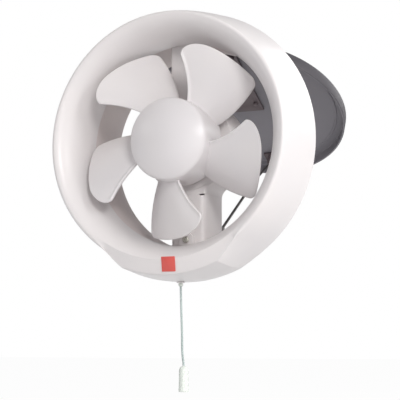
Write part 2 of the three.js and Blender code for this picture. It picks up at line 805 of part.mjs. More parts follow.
function trailAngle(radius) {
  const over = THREE.MathUtils.clamp((radius - trailCornerRadius) / (bladeTipRadius - trailCornerRadius), 0, 1)
  const corner = trailCornerTurn * (1 - Math.sqrt(1 - over ** 2))
  return trailRootAngle + trailSweep * (radius - hubRadius) + corner
}

function leadAngle(radius) {
  const straight = leadRootAngle + leadSweep * (Math.min(radius, lobeRadius) - hubRadius)
  const over = THREE.MathUtils.clamp((radius - lobeRadius) / (bladeTipRadius - lobeRadius), 0, 1)
  return lobeTipAngle + (straight - lobeTipAngle) * Math.sqrt(1 - over ** 2)
}

// The depth of the blade's middle surface at a radius and an angle.
function bladeDepth(radius, angle) {
  const rear = bladeRearDepth + bladeRootDrop * Math.exp(-(radius - hubRadius) / 15)
  const pitch = bladeRootPitch + bladePitchGain * (radius - hubRadius)
  const out = radius - hubRadius
  const start = trailRootAngle + trailSweep * out
  const chord = leadRootAngle + leadSweep * out - start
  const along = THREE.MathUtils.clamp((angle - start) / chord, 0, 1)
  const camber = THREE.MathUtils.lerp(bladeRootCamber, bladeTipCamber, out / (bladeTipRadius - hubRadius))
  return -rear - pitch * (angle - start) - camber * 4 * along * (1 - along)
}

function blade(turn) {
  const span = bladeTipRadius - hubRadius
  const shares = [0, 0.18, 0.36, 0.54, 0.7, 0.8, 0.88, 0.94, 0.98, 1]
  const chordSteps = 6
  const rows = shares.map((share) => {
    const radius = hubRadius + share * span
    const from = trailAngle(radius)
    const to = leadAngle(radius)
    return Array.from({ length: chordSteps + 1 }, (_, i) => {
      const angle = THREE.MathUtils.lerp(from, to, i / chordSteps)
      const depth = bladeDepth(radius, angle)
      const reach = share === 0 ? hubOuter(depth) - hubWall / 2 : radius
      return { reach, angle: angle + turn, depth }
    })
  })
  const positions = []
  for (const side of [-1, 1]) {
    for (const { reach, angle, depth } of rows.flat()) {
      const [x, z] = polar(reach, angle)
      positions.push(x, depth + side * bladeThickness / 2, z)
    }
  }
  const width = chordSteps + 1
  const layer = rows.length * width
  const index = []
  const quad = (a, b, c, d) => index.push(a, b, c, a, c, d)
  for (let row = 0; row < rows.length - 1; row += 1) {
    for (let i = 0; i < chordSteps; i += 1) {
      const a = row * width + i
      quad(a, a + 1, a + width + 1, a + width)
      quad(layer + a, layer + a + width, layer + a + width + 1, layer + a + 1)
    }
    const start = row * width
    const end = start + chordSteps
    quad(start, start + width, start + width + layer, start + layer)
    quad(end, end + layer, end + width + layer, end + width)
  }
  const last = (rows.length - 1) * width
  for (let i = 0; i < chordSteps; i += 1) {
    quad(i, i + layer, i + 1 + layer, i + 1)
    quad(last + i, last + i + 1, last + i + 1 + layer, last + i + layer)
  }
  const geometry = new THREE.BufferGeometry()
  geometry.setAttribute('position', new THREE.Float32BufferAttribute(positions, 3))
  geometry.setIndex(index)
  return solidOf(geometry)
}

function impeller() {
  const blades = Array.from({ length: bladeCount }, (_, i) => blade(360 * i / bladeCount))
  return join(hub(), ...blades)
}

// ---- Shutter lid, modelled closed -------------------------------------------------------------

const notchDepth = 6.3
const legHalf = 1.3

function shutterLid() {
  const edge = 2.5
  const pan = revolve([
    [0, lidInner], [lidInnerRadius, lidInner], [lidInnerRadius, lidPlane], [lidRadius, lidPlane],
    [lidRadius, lidBack - edge], [lidRadius - edge, lidBack], [0, lidBack],
  ], largeFacets, false)
  const half = hingePlateHalfWidth + 2 * gap
  const notch = box([-half, lidPlane - 1, lidInnerRadius - 8], [half, lidPlane + notchDepth, lidRadius + 1])
  const holes = rivetPlaces().map(([x, z]) => rod([x, lidInner - 2, z], [x, lidBack + 2, z], rivetRadius + gap))
  return cut(pan, notch, ...holes)
}

// The dark hinge plate: it lies on the lid's floor, steps up through the rim's notch and ends in
// a knuckle round the hinge pin.
function hingePlate() {
  const back = lidInner - gap
  const front = back - hingePlateThickness
  const step = lidInnerRadius - 5
  const low = hinge.x - legHalf
  const high = hinge.x + legHalf
  const outline = [
    [front, hingePlateEnd], [front, step], [low, step], [low, hinge.y], [high, hinge.y],
    [high, step + hingePlateThickness], [back, step + hingePlateThickness], [back, hingePlateEnd],
  ]
  const half = hingePlateHalfWidth
  const body = plateAcrossX(outline, -half, half)
  const knuckle = rod([-half, hinge.x, hinge.y], [half, hinge.x, hinge.y], knuckleRadius, 20)
  const bore = rod([-half - 1, hinge.x, hinge.y], [half + 1, hinge.x, hinge.y], hingePinRadius + gap, 20)
  const holes = rivetPlaces().map(([x, z]) => rod([x, front - 2, z], [x, back + 2, z], rivetRadius + gap))
  return cut(join(body, knuckle), bore, ...holes)
}

function rivetPlaces() {
  const x = hingePlateHalfWidth - 6
  const low = hingePlateEnd + 12
  const high = lidInnerRadius - 22
  return [[-x, low], [x, low], [-x, high], [x, high]]
}

function lidRivet([x, z]) {
  const seat = lidInner - gap - hingePlateThickness
  const head = rod([x, seat - gap - 1.2, z], [x, seat - gap, z], rivetRadius + 1.4)
  const shank = rod([x, seat - gap - 0.6, z], [x, lidBack - 0.2, z], rivetRadius)
  return join(head, shank)
}

function lidClevis() {
  const back = lidInner - gap
  const front = back - hingePlateThickness
  const [y, z] = lidPivotClosed.toArray()
  const inner = clevisHalfGap
  const outer = inner + clevisEarThickness
  let clevis = box([-10, front, z - 18], [10, back, z + 5])
  const outline = [[back - 1, z - 9], [y, z - 4], [y, z + 4], [back - 1, z + 4]]
  for (const side of [-1, 1]) {
    const low = Math.min(side * inner, side * outer)
    const high = Math.max(side * inner, side * outer)
    const eye = rod([low, y, z], [high, y, z], 4, 16)
    clevis = join(clevis, plateAcrossX(outline, low, high), eye)
  }
  return cut(clevis, rod([-outer - 1, y, z], [outer + 1, y, z], stayPinRadius + gap))
}

function lidPin() {
  const [y, z] = lidPivotClosed.toArray()
  const end = clevisHalfGap + clevisEarThickness + 0.6
  return rod([-end, y, z], [end, y, z], stayPinRadius)
}

// ---- Hinge bracket on the duct ----------------------------------------------------------------

const earInner = hingePlateHalfWidth + 1
const bracketFront = 35
const bracketRear = seatRear - seatThickness - 2 * gap

function hingeBracket() {
  const outer = earInner + earThickness
  const top = seatRadius + gap
  const base = box([-outer, bracketFront, ductRadius - 4], [outer, bracketRear, top + 2])
  const saddle = cut(base, disc(ductOuter + gap, bracketFront - 1, bracketRear + 1, largeFacets))
  const [y, z] = hinge.toArray()
  const eye = knuckleRadius + 1
  const outline = [[bracketFront + 3, top - 1], [y, z - eye], [y, z + eye], [bracketFront + 6, top + 4]]
  let bracket = saddle
  for (const side of [-1, 1]) {
    const low = Math.min(side * earInner, side * outer)
    const high = Math.max(side * earInner, side * outer)
    const ear = join(plateAcrossX(outline, low, high), rod([low, y, z], [high, y, z], eye, 20))
    bracket = join(bracket, ear)
  }
  const clearance = disc(seatRadius + gap, bracketRear - 1, lidPlane + 0.2, largeFacets)
  const bore = rod([-outer - 1, y, z], [outer + 1, y, z], hingePinRadius + gap, 20)
  return cut(bracket, clearance, bore)
}

function hingePin() {
  const end = earInner + earThickness + 1
  return rod([-end, hinge.x, hinge.y], [end, hinge.x, hinge.y], hingePinRadius, 20)
}

// ---- Stay -------------------------------------------------------------------------------------

// The two arms fold upwards into the closed lid. Their lengths follow from where the two fixed
// pivots lie with the lid open and with it closed.
const openSpan = lidPivotOpen.distanceTo(crankPivot) + stayBend
const closedSpan = crankPivot.y - lidPivotClosed.y
const crankLength = (openSpan - closedSpan) / 2
const linkLength = (openSpan + closedSpan) / 2

// Where two circles meet, on the upper side of the line between their centres.
function meet(centreA, lengthA, centreB, lengthB) {
  const span = centreB.clone().sub(centreA)
  const distance = span.length()
  const along = (lengthA ** 2 - lengthB ** 2 + distance ** 2) / (2 * distance)
  const aside = Math.sqrt(Math.max(0, lengthA ** 2 - along ** 2))
  const dir = span.normalize()
  const normal = new THREE.Vector2(-dir.y, dir.x)
  return centreA.clone().addScaledVector(dir, along).addScaledVector(normal, aside)
}

const elbow = meet(crankPivot, crankLength, lidPivotOpen, linkLength)

function eye(x, place) {
  const half = stayEyeThickness / 2
  return rod([x - half, place.x, place.y], [x + half, place.x, place.y], stayEyeRadius, 16)
}

function eyeHole(x, place) {
  return rod([x - 4, place.x, place.y], [x + 4, place.x, place.y], stayPinRadius + gap)
}

function stayArm(startX, start, endX, end) {
  const arm = rod([startX, start.x, start.y], [endX, end.x, end.y], stayRodRadius, 10)
  return cut(join(arm, eye(startX, start), eye(endX, end)), eyeHole(startX, start), eyeHole(endX, end))
}

function crankArm() {
  return stayArm(crankX, crankPivot, crankElbowX, elbow)
}

function stayLink() {
  return stayArm(linkElbowX, elbow, 0, lidPivotOpen)
}

// Fixed in the crank arm's eye; it stops just short of the link's eye.
function elbowRivet() {
  const near = linkElbowX + stayEyeThickness / 2 + gap
  const far = crankElbowX + stayEyeThickness / 2 + 2 * gap
  const shank = rod([near, elbow.x, elbow.y], [far + 0.8, elbow.x, elbow.y], stayPinRadius)
  const head = rod([far, elbow.x, elbow.y], [far + 1.4, elbow.x, elbow.y], stayPinRadius + 1.2)
  return join(shank, head)
}

function crankBracket() {
  const high = crankX - stayEyeThickness / 2 - 2 * gap
  const low = high - 3
  const { x: y, y: z } = crankPivot
  const foot = box([low - 5, coverBack + gap, z - 9], [high, coverBack + gap + 2, z + 5])
  const outline = [[coverBack + gap + 1, z - 7], [y, z - 4], [y, z + 4], [coverBack + gap + 1, z + 5]]
  const ear = join(plateAcrossX(outline, low, high), rod([low, y, z], [high, y, z], 4, 16))
  return cut(join(foot, ear), rod([low - 1, y, z], [high + 1, y, z], stayPinRadius + gap))
}

function crankPin() {
  const { x: y, y: z } = crankPivot
  const high = crankX + stayEyeThickness / 2 + gap
  const shank = rod([crankX - stayEyeThickness / 2 - 4, y, z], [high + 1, y, z], stayPinRadius)
  const head = rod([high, y, z], [high + 1.5, y, z], stayPinRadius + 1.2)
  return join(shank, head)
}

// ---- Pull switch and cord ---------------------------------------------------------------------

// A solid of revolution round the upright line through the cord's exit. Pairs are [radius, z].
function turnedOnCord(pairs, facets, closeOnItself = true) {
  const points = pairs.map(([radius, z]) => new THREE.Vector2(radius, z))
  if (closeOnItself) points.push(points[0].clone())
  const geometry = new THREE.LatheGeometry(points, facets)
  geometry.rotateX(Math.PI / 2)
  geometry.translate(cordX, cordY, 0)
  return solidOf(geometry)
}

const switchFloor = switchTop - switchHeight
const springTop = plungerTop - 1.5 - gap
const springBottom = switchFloor + switchWall + gap
const springOuter = 4.2
const springInner = 2.6

function switchBody() {
  const half = switchWidth / 2
  const low = [cordX - half, cordY - switchDepth / 2, switchFloor]
  const high = [cordX + half, cordY + switchDepth / 2, switchTop]
  const cavity = turnedOnCord([
    [0, switchTop - switchWall], [plungerCollarRadius + 0.6, switchTop - switchWall],
    [plungerCollarRadius + 0.6, switchFloor + switchWall], [0, switchFloor + switchWall],
  ], 20, false)
  const mouthTop = [cordX, cordY, switchFloor + switchWall + 1]
  const mouth = rod([cordX, cordY, switchFloor - 1], mouthTop, plungerRadius + gap)
  return cut(box(low, high), cavity, mouth)
}

function switchPlunger() {
  const bottom = plungerTop - plungerLength
  return turnedOnCord([
    [0, plungerTop], [plungerCollarRadius, plungerTop], [plungerCollarRadius, plungerTop - 1.5],
    [plungerRadius, plungerTop - 1.5], [plungerRadius, bottom], [0, bottom],
  ], smallFacets, false)
}

function switchSpring() {
  return turnedOnCord([
    [springInner, springBottom], [springOuter, springBottom], [springOuter, springTop], [springInner, springTop],
  ], 16)
}

const grommetBore = 1.85

function cordGrommet() {
  const outside = -chinRadius - gap
  const bottom = outside - grommetFlange
  return turnedOnCord([
    [grommetBore, outside + ringWall + 1], [grommetHoleRadius - gap, outside + ringWall + 1],
    [grommetHoleRadius - gap, outside], [grommetHoleRadius + 1.2, outside],
    [grommetHoleRadius + 1.2, bottom], [grommetBore, bottom],
  ], smallFacets)
}

const beadTop = -chinRadius - gap - grommetFlange - gap
const beadHeight = 3
const knobTop = -220

// The cord's centre line, from the plunger down to the knob.
const cordRoute = [
  [cordX, cordY, cordTop],
  [cordX, cordY, -141],
  [-0.6, cordY, -158],
  [0.4, cordY, -187],
  [0.8, cordY, -206],
  [2.3, cordY, knobTop + gap],
]

function pullCord() {
  const curve = new THREE.CatmullRomCurve3(cordRoute.map((point) => new THREE.Vector3(...point)))
  const section = new THREE.Shape()
  for (let i = 0; i < cordSides; i += 1) {
    const turn = 2 * Math.PI * i / cordSides
    const point = [cordDiameter / 2 * Math.cos(turn), cordDiameter / 2 * Math.sin(turn)]
    if (i === 0) section.moveTo(...point)
    else section.lineTo(...point)
  }
  section.closePath()
  const steps = Math.round(curve.getLength() / cordStep)
  return solidOf(new THREE.ExtrudeGeometry(section, { steps, extrudePath: curve, curveSegments: 1 }))
}

function cordBead() {
  const bore = cordDiameter / 2 + gap
  const middle = beadTop - beadHeight / 2
  return turnedOnCord([
    [bore, beadTop], [bore + 0.6, beadTop], [bore + 1, middle], [bore + 0.6, beadTop - beadHeight],
    [bore, beadTop - beadHeight],
  ], 16)
}

function cordKnob() {
  const outline = [
    [0, 0], [2.4, -0.5], [3.9, -2], [4.6, -4.6], [4.7, -14], [4.85, -20], [knobRadius, -knobLength + 1.2],
    [knobRadius - 0.5, -knobLength], [0, -knobLength],
  ]
  const points = outline.map(([radius, z]) => new THREE.Vector2(radius, z))
  const geometry = new THREE.LatheGeometry(points, 24)
  geometry.rotateX(Math.PI / 2)
  geometry.translate(cordRoute.at(-1)[0], cordY, knobTop)
  return solidOf(geometry)
}

// ---- Assembly ---------------------------------------------------------------------------------

const finishes = {
  white: { color: 0xe9e4e4, roughness: 0.42, metalness: 0 },
  blade: { color: 0xe4e0e1, roughness: 0.36, metalness: 0 },
  shutterGrey: { color: 0x77757a, roughness: 0.5, metalness: 0 },
  darkMetal: { color: 0x4a4244, roughness: 0.5, metalness: 0.6 },
  steel: { color: 0x9a9896, roughness: 0.3, metalness: 0.9 },
  screwZinc: { color: 0xb9b8b0, roughness: 0.35, metalness: 0.9 },
  rubber: { color: 0x2b2b2d, roughness: 0.85, metalness: 0 },
  copper: { color: 0xb06a3a, roughness: 0.4, metalness: 0.8 },
  badgeRed: { color: 0xd9564f, roughness: 0.45, metalness: 0 },
  cord: { color: 0xb9c4c8, roughness: 0.8, metalness: 0 },
  knob: { color: 0xeef8ee, roughness: 0.35, metalness: 0 },
  darkPlastic: { color: 0x3a3c40, roughness: 0.6, metalness: 0 },
}

function add(parent, name, solid, finish) {
  const mesh = new THREE.Mesh(geometryOf(solid), new THREE.MeshStandardMaterial(finishes[finish]))
  mesh.name = name
  parent.add(mesh)
  return mesh
}

function frontBadge(parent) {
  const [radius, y] = chinFace(badgeAlong, 0)
  const slope = Math.atan2(chinInnerDepth - chinLipDepth, chinLipRadius - chinInnerRadius)
  const half = badgeSize / 2
  const spot = new THREE.Group()
  spot.position.set(badgeX, y, -Math.sqrt(radius ** 2 - badgeX ** 2))
  spot.rotation.set(slope, 0, 0)
  parent.add(spot)
  add(spot, 'front_badge', box([-half, -badgeLift - badgeThickness, -half], [half, -badgeLift, half]), 'badgeRed')
}

const fan = new THREE.Group()

const frame = new THREE.Group()
fan.add(frame)
add(frame, 'front_ring', frontRing(), 'white')
add(frame, 'supply_gland', supplyGland(), 'darkPlastic')
add(frame, 'duct_tube', duct(), 'white')
add(frame, 'inner_gasket', innerGasket(), 'rubber')
add(frame, 'outer_gasket', outerGasket(), 'rubber')
add(frame, 'clamp_ring', clampRing(), 'white')
add(frame, 'lid_seal', lidSeal(), 'rubber')
clampScrewAngles.forEach((angle, i) => add(frame, `clamp_screw_${i + 1}`, clampScrew(angle), 'screwZinc'))
flangeScrewAngles.forEach((angle, i) => {
  const [x, z] = polar(flangeScrewCircle, angle)
  add(frame, `flange_screw_${i + 1}`, screw([x, flangeRear, z], [0, -1, 0], 12), 'screwZinc')
})

const motor = new THREE.Group()
frame.add(motor)
add(motor, 'motor_bridge', motorBridge(), 'white')
add(motor, 'bridge_screw_top', bridgeScrew(1), 'screwZinc')
add(motor, 'bridge_screw_bottom', bridgeScrew(-1), 'screwZinc')
add(motor, 'post_cover', postCover(), 'white')
add(motor, 'post_cover_screw', postCoverScrew(), 'screwZinc')
add(motor, 'bridge_rear_cover', bridgeRearCover(), 'white')
rearScrewHeights.forEach((z, i) => add(motor, `rear_cover_screw_${i + 1}`, rearCoverScrew(z), 'screwZinc'))
add(motor, 'motor_front_cover', motorFrontCover(), 'white')
add(motor, 'stator_core', statorCore(), 'steel')
add(motor, 'stator_winding_front', winding(statorFront - windingDepth - gap), 'copper')
add(motor, 'stator_winding_rear', winding(statorFront + statorLength + gap), 'copper')
add(motor, 'front_bearing', bearing(frontBearingFront), 'steel')
add(motor, 'rear_bearing', bearing(rearBearingFront), 'steel')
add(motor, 'capacitor', capacitor(), 'darkPlastic')
add(motor, 'terminal_block', terminalBlock(), 'darkPlastic')
add(motor, 'shutter_actuator', shutterActuator(), 'darkPlastic')

const turning = new THREE.Group()
fan.add(turning)
add(turning, 'impeller', impeller(), 'blade')
add(turning, 'motor_shaft', motorShaft(), 'steel')
add(turning, 'rotor', rotor(), 'steel')

add(frame, 'hinge_bracket', hingeBracket(), 'darkMetal')
add(frame, 'hinge_pin', hingePin(), 'steel')
add(frame, 'crank_bracket', crankBracket(), 'darkMetal')
add(frame, 'crank_pin', crankPin(), 'steel')

// The shutter's pieces are modelled closed, then turned open about the hinge pin.
const shutter = new THREE.Group()
shutter.position.set(0, hinge.x, hinge.y)
shutter.rotation.x = rad(lidOpenAngle)
fan.add(shutter)
const closedShutter = new THREE.Group()
closedShutter.position.set(0, -hinge.x, -hinge.y)
shutter.add(closedShutter)
add(closedShutter, 'shutter_lid', shutterLid(), 'shutterGrey')
add(closedShutter, 'hinge_plate', hingePlate(), 'darkMetal')
rivetPlaces().forEach((place, i) => add(closedShutter, `lid_rivet_${i + 1}`, lidRivet(place), 'steel'))
add(closedShutter, 'lid_clevis', lidClevis(), 'darkMetal')
add(closedShutter, 'lid_pin', lidPin(), 'steel')

const stay = new THREE.Group()
fan.add(stay)
add(stay, 'crank_arm', crankArm(), 'steel')
add(stay, 'elbow_rivet', elbowRivet(), 'steel')
add(stay, 'stay_link', stayLink(), 'steel')

const pull = new THREE.Group()
fan.add(pull)
frontBadge(frame)
add(frame, 'switch_body', switchBody(), 'darkPlastic')
add(frame, 'switch_spring', switchSpring(), 'steel')
add(frame, 'cord_grommet', cordGrommet(), 'white')
add(pull, 'switch_plunger', switchPlunger(), 'white')
add(pull, 'pull_cord', pullCord(), 'cord')
add(pull, 'cord_bead', cordBead(), 'knob')
add(pull, 'cord_knob', cordKnob(), 'knob')

export default fan
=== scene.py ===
# Round window exhaust fan: bell-mouth ring, impeller, motor post, outdoor shutter and pull cord.
# Sizes are in millimetres in the dictionaries and in metres on the meshes. +Z is up, -Y faces the room.

import math

import bmesh
import bpy
from mathutils import Matrix, Vector


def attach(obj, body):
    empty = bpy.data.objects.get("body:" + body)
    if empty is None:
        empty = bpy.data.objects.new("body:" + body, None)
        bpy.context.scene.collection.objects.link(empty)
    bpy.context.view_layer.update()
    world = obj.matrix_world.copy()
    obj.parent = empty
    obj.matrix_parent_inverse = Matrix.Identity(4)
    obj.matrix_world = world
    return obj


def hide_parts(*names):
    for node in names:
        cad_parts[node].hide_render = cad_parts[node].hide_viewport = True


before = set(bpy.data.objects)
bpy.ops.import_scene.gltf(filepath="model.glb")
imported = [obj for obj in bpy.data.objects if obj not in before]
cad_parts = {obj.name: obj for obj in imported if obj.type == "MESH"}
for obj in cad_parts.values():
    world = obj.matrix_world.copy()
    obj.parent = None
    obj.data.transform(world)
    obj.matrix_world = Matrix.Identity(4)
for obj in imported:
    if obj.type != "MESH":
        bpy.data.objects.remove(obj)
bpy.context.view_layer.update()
mm = 0.001
print("stage: frame loaded,", len(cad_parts), "nodes")


# Camera

cameraView = {
    "azimuth": 24.4,
    "elevation": -6.9,
    "place": (500.2, -1074.1, -198.5),
    "lens": 106.97,
    "sensor": 36.0,
}


def makeCamera():
    azimuth = math.radians(cameraView["azimuth"])
    elevation = math.radians(cameraView["elevation"])
    back = Vector((
        math.cos(elevation) * math.sin(azimuth),
        -math.cos(elevation) * math.cos(azimuth),
        math.sin(elevation),
    ))
    right = Vector((math.cos(azimuth), math.sin(azimuth), 0))
    up = back.cross(right)
    turn = Matrix((right, up, back)).transposed().to_4x4()
    data = bpy.data.cameras.new("photoCamera")
    data.lens = cameraView["lens"]
    data.sensor_width = cameraView["sensor"]
    data.clip_start = 0.05
    data.clip_end = 60
    camera = bpy.data.objects.new("photoCamera", data)
    bpy.context.scene.collection.objects.link(camera)
    camera.matrix_world = Matrix.Translation(Vector(cameraView["place"]) * mm) @ turn
    bpy.context.scene.camera = camera


makeCamera()
print("stage: camera")


# Mesh helpers

def addObject(name, mesh):
    piece = bpy.data.objects.new(name, mesh)
    bpy.context.scene.collection.objects.link(piece)
    return piece


def dropObject(piece):
    mesh = piece.data
    bpy.data.objects.remove(piece)
    bpy.data.meshes.remove(mesh)


def polar(radius, degrees):
    return radius * math.cos(math.radians(degrees)), radius * math.sin(math.radians(degrees))


# Closes doubles, turns the faces outwards and shades smooth with sharp edges past an angle.
def cleanMesh(mesh, sharpAngle=32):
    work = bmesh.new()
    work.from_mesh(mesh)
    bmesh.ops.remove_doubles(work, verts=work.verts, dist=2e-6)
    bmesh.ops.dissolve_degenerate(work, edges=work.edges, dist=1e-6)
    bmesh.ops.recalc_face_normals(work, faces=work.faces)
    work.to_mesh(mesh)
    work.free()
    mesh.shade_smooth()
    mesh.set_sharp_from_angle(angle=math.radians(sharpAngle))


def meshPiece(name, points, faces, sharpAngle=32):
    mesh = bpy.data.meshes.new(name)
    mesh.from_pydata([Vector(point) * mm for point in points], [], faces)
    cleanMesh(mesh, sharpAngle)
    return addObject(name, mesh)


# Turns an object with live modifiers into a plain mesh.
def settle(piece, sharpAngle=32):
    graph = bpy.context.evaluated_depsgraph_get()
    graph.update()
    mesh = bpy.data.meshes.new_from_object(piece.evaluated_get(graph))
    old = piece.data
    piece.modifiers.clear()
    piece.data = mesh
    bpy.data.meshes.remove(old)
    cleanMesh(mesh, sharpAngle)
    return piece


def carve(piece, tools, operation="DIFFERENCE", sharpAngle=32):
    for tool in tools:
        step = piece.modifiers.new("carve", "BOOLEAN")
        step.operation = operation
        step.solver = "EXACT"
        step.object = tool
    settle(piece, sharpAngle)
    for tool in tools:
        dropObject(tool)
    return piece


def bevel(piece, width, segments=2, angle=40):
    step = piece.modifiers.new("softEdge", "BEVEL")
    step.width = width * mm
    step.segments = segments
    step.limit_method = "ANGLE"
    step.angle_limit = math.radians(angle)
    return settle(piece)


# Rounds the corners of a closed outline. Each corner is (x, y) or (x, y, radius).
def roundedOutline(corners, steps=4):
    outline = []
    count = len(corners)
    for i, corner in enumerate(corners):
        here = Vector(corner[:2])
        radius = corner[2] if len(corner) > 2 else 0
        if radius <= 0:
            outline.append(tuple(here))
            continue
        before = (Vector(corners[i - 1][:2]) - here).normalized()
        after = (Vector(corners[(i + 1) % count][:2]) - here).normalized()
        half = before.angle(after) / 2
        reach = radius / math.tan(half)
        centre = here + (before + after).normalized() * radius / math.sin(half)
        first = here + before * reach - centre
        sweep = first.angle_signed(here + after * reach - centre)
        for k in range(steps + 1):
            arm = first.copy()
            arm.rotate(Matrix.Rotation(-sweep * k / steps, 2))
            outline.append(tuple(centre + arm))
    return outline


# A rectangle's outline with rounded corners.
def rectangle(left, low, right, high, radius):
    corners = ((left, low), (right, low), (right, high), (left, high))
    return roundedOutline([(x, y, radius) for x, y in corners])


# Skins sections that have the same number of points, and closes them with caps or into a ring.
def skin(name, sections, closed=False, sharpAngle=32):
    count, last = len(sections[0]), len(sections) - 1
    points = [point for section in sections for point in section]
    faces = [] if closed else [tuple(range(count)), tuple(range(last * count, len(points)))]
    for i in range(last + closed):
        a, b = i * count, (i + 1) % len(sections) * count
        faces += [(a + k, b + k, b + (k + 1) % count, a + (k + 1) % count) for k in range(count)]
    return meshPiece(name, points, faces, sharpAngle)


# A closed [radius, y] outline turned round the fan axis.
def turned(name, outline, steps, sharpAngle=32):
    turns = [2 * math.pi * i / steps for i in range(steps)]
    sections = [[(r * math.sin(turn), y, -r * math.cos(turn)) for r, y in outline] for turn in turns]
    return skin(name, sections, True, sharpAngle)


# A closed [radius, z] outline turned round an upright line.
def turnedUpright(name, outline, x, y, steps=32):
    piece = turned(name, outline, steps)
    quarter = Matrix.Rotation(math.pi / 2, 4, "X")
    piece.data.transform(Matrix.Translation(Vector((x, y, 0)) * mm) @ quarter)
    return piece


def block(name, low, high):
    points = [(x, y, z) for x in (low[0], high[0]) for y in (low[1], high[1]) for z in (low[2], high[2])]
    faces = [(0, 1, 3, 2), (4, 6, 7, 5), (0, 4, 5, 1), (2, 3, 7, 6), (0, 2, 6, 4), (1, 5, 7, 3)]
    return meshPiece(name, points, faces)


# A rod between two points; an edge radius rounds its ends.
def rod(name, start, end, radius, edge=0, steps=28):
    start, end = Vector(start), Vector(end)
    length = (end - start).length
    outline = roundedOutline([(0, 0), (radius, 0, edge), (radius, length, edge), (0, length)])
    piece = turned(name, outline, steps)
    turn = Vector((0, 1, 0)).rotation_difference(end - start).to_matrix().to_4x4()
    piece.data.transform(Matrix.Translation(start * mm) @ turn)
    return piece


# An outline in one plane made thick along the third axis. across is "x" or "y".
def plate(name, outline, low, high, across):
    place = (lambda a, b, t: (t, a, b)) if across == "x" else (lambda a, b, t: (a, t, b))
    return skin(name, [[place(a, b, t) for a, b in outline] for t in (low, high)])


def dress(piece, material, slot, body, *nodes):
    piece.data.materials.clear()
    piece.data.materials.append(material)
    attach(piece, body)
    if nodes:
        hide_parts(*nodes)
    return piece


# Materials

def srgb(red, green, blue):
    def linear(value):
        share = value / 255
        return share / 12.92 if share <= 0.04045 else ((share + 0.055) / 1.055) ** 2.4
    return (linear(red), linear(green), linear(blue), 1)


# Fills a node's inputs with values or with other nodes' sockets.
def fillInputs(tree, node, inputs):
    for label, value in inputs.items():
        if isinstance(value, bpy.types.NodeSocket):
            tree.links.new(value, node.inputs[label])
        else:
            node.inputs[label].default_value = value


def addNode(tree, kind, inputs, **settings):
    node = tree.nodes.new(kind)
    for label, value in settings.items():
        setattr(node, label, value)
    fillInputs(tree, node, inputs)
    return node


# A node group with named inputs (label, kind and perhaps a first value) and outputs.
def groupShell(name, treeKind, inputs, outputs):
    tree = bpy.data.node_groups.new(name, treeKind)
    for label, kind, *value in inputs:
        socket = tree.interface.new_socket(label, in_out="INPUT", socket_type=kind)
        if value:
            socket.default_value = value[0]
    for label, kind in outputs:
        tree.interface.new_socket(label, in_out="OUTPUT", socket_type=kind)
    return tree, tree.nodes.new("NodeGroupInput").outputs, tree.nodes.new("NodeGroupOutput")


def mathNode(tree, operation, *values, clamp=False):
    inputs = dict(enumerate(values))
    return addNode(tree, "ShaderNodeMath", inputs, operation=operation, use_clamp=clamp).outputs[0]


def noiseNode(tree, vector, scale, detail=3, roughness=0.55):
    inputs = {"Vector": vector, "Scale": scale, "Detail": detail, "Roughness": roughness}
    return addNode(tree, "ShaderNodeTexNoise", inputs).outputs["Fac"]


def rampNode(tree, value, low, high):
    inputs = {"Value": value, "From Min": low, "From Max": high}
    return addNode(tree, "ShaderNodeMapRange", inputs, interpolation_type="SMOOTHSTEP").outputs["Result"]


def mixColour(tree, share, first, second):
    return addNode(tree, "ShaderNodeMix", {0: share, 6: first, 7: second}, data_type="RGBA").outputs[2]


def bumpNode(tree, height, strength, distance):
    inputs = {"Height": height, "Strength": strength, "Distance": distance}
    return addNode(tree, "ShaderNodeBump", inputs).outputs["Normal"]


# Moulded plastic: fine spark texture in the surface and a slow drift of tone.
def makeMouldedSkin():
    tree, entry, leave = groupShell(
        "mouldedSkin", "ShaderNodeTree",
        [("Position", "NodeSocketVector", (0, 0, 0)), ("Grain Scale", "NodeSocketFloat", 900.0),
         ("Drift Scale", "NodeSocketFloat", 9.0)],
        [("Grain", "NodeSocketFloat"), ("Drift", "NodeSocketFloat")])
    drift = noiseNode(tree, entry["Position"], entry["Drift Scale"], 2, 0.5)
    fillInputs(tree, leave, {
        "Grain": noiseNode(tree, entry["Position"], entry["Grain Scale"], 2, 0.6),
        "Drift": rampNode(tree, drift, 0.3, 0.7)})
    return tree


# Faint smears and specks of dust that settle on any finish.
def makeDustFilm():
    tree, entry, leave = groupShell(
        "dustFilm", "ShaderNodeTree",
        [("Position", "NodeSocketVector", (0, 0, 0)), ("Speck Scale", "NodeSocketFloat", 260.0),
         ("Smear Scale", "NodeSocketFloat", 22.0), ("Amount", "NodeSocketFloat", 0.5)],
        [("Mask", "NodeSocketFloat")])
    specks = rampNode(tree, noiseNode(tree, entry["Position"], entry["Speck Scale"], 1), 0.68, 0.78)
    smears = noiseNode(tree, entry["Position"], entry["Smear Scale"], 4, 0.65)
    smears = mathNode(tree, "MULTIPLY", rampNode(tree, smears, 0.5, 0.75), 0.4)
    both = mathNode(tree, "MULTIPLY_ADD", specks, 0.6, smears)
    fillInputs(tree, leave, {"Mask": mathNode(tree, "MULTIPLY", both, entry["Amount"], clamp=True)})
    return tree


# Long fine lines along one axis, as on drawn rod and rolled sheet.
def makeDrawnLines():
    tree, entry, leave = groupShell(
        "drawnLines", "ShaderNodeTree",
        [("Position", "NodeSocketVector", (0, 0, 0)), ("Stretch", "NodeSocketVector", (40, 40, 900)),
         ("Depth", "NodeSocketFloat", 1.0)],
        [("Lines", "NodeSocketFloat")])
    inputs = {0: entry["Position"], 1: entry["Stretch"]}
    scaled = addNode(tree, "ShaderNodeVectorMath", inputs, operation="MULTIPLY").outputs[0]
    lines = noiseNode(tree, scaled, 1.0, 3, 0.7)
    fillInputs(tree, leave, {"Lines": mathNode(tree, "MULTIPLY", lines, entry["Depth"])})
    return tree


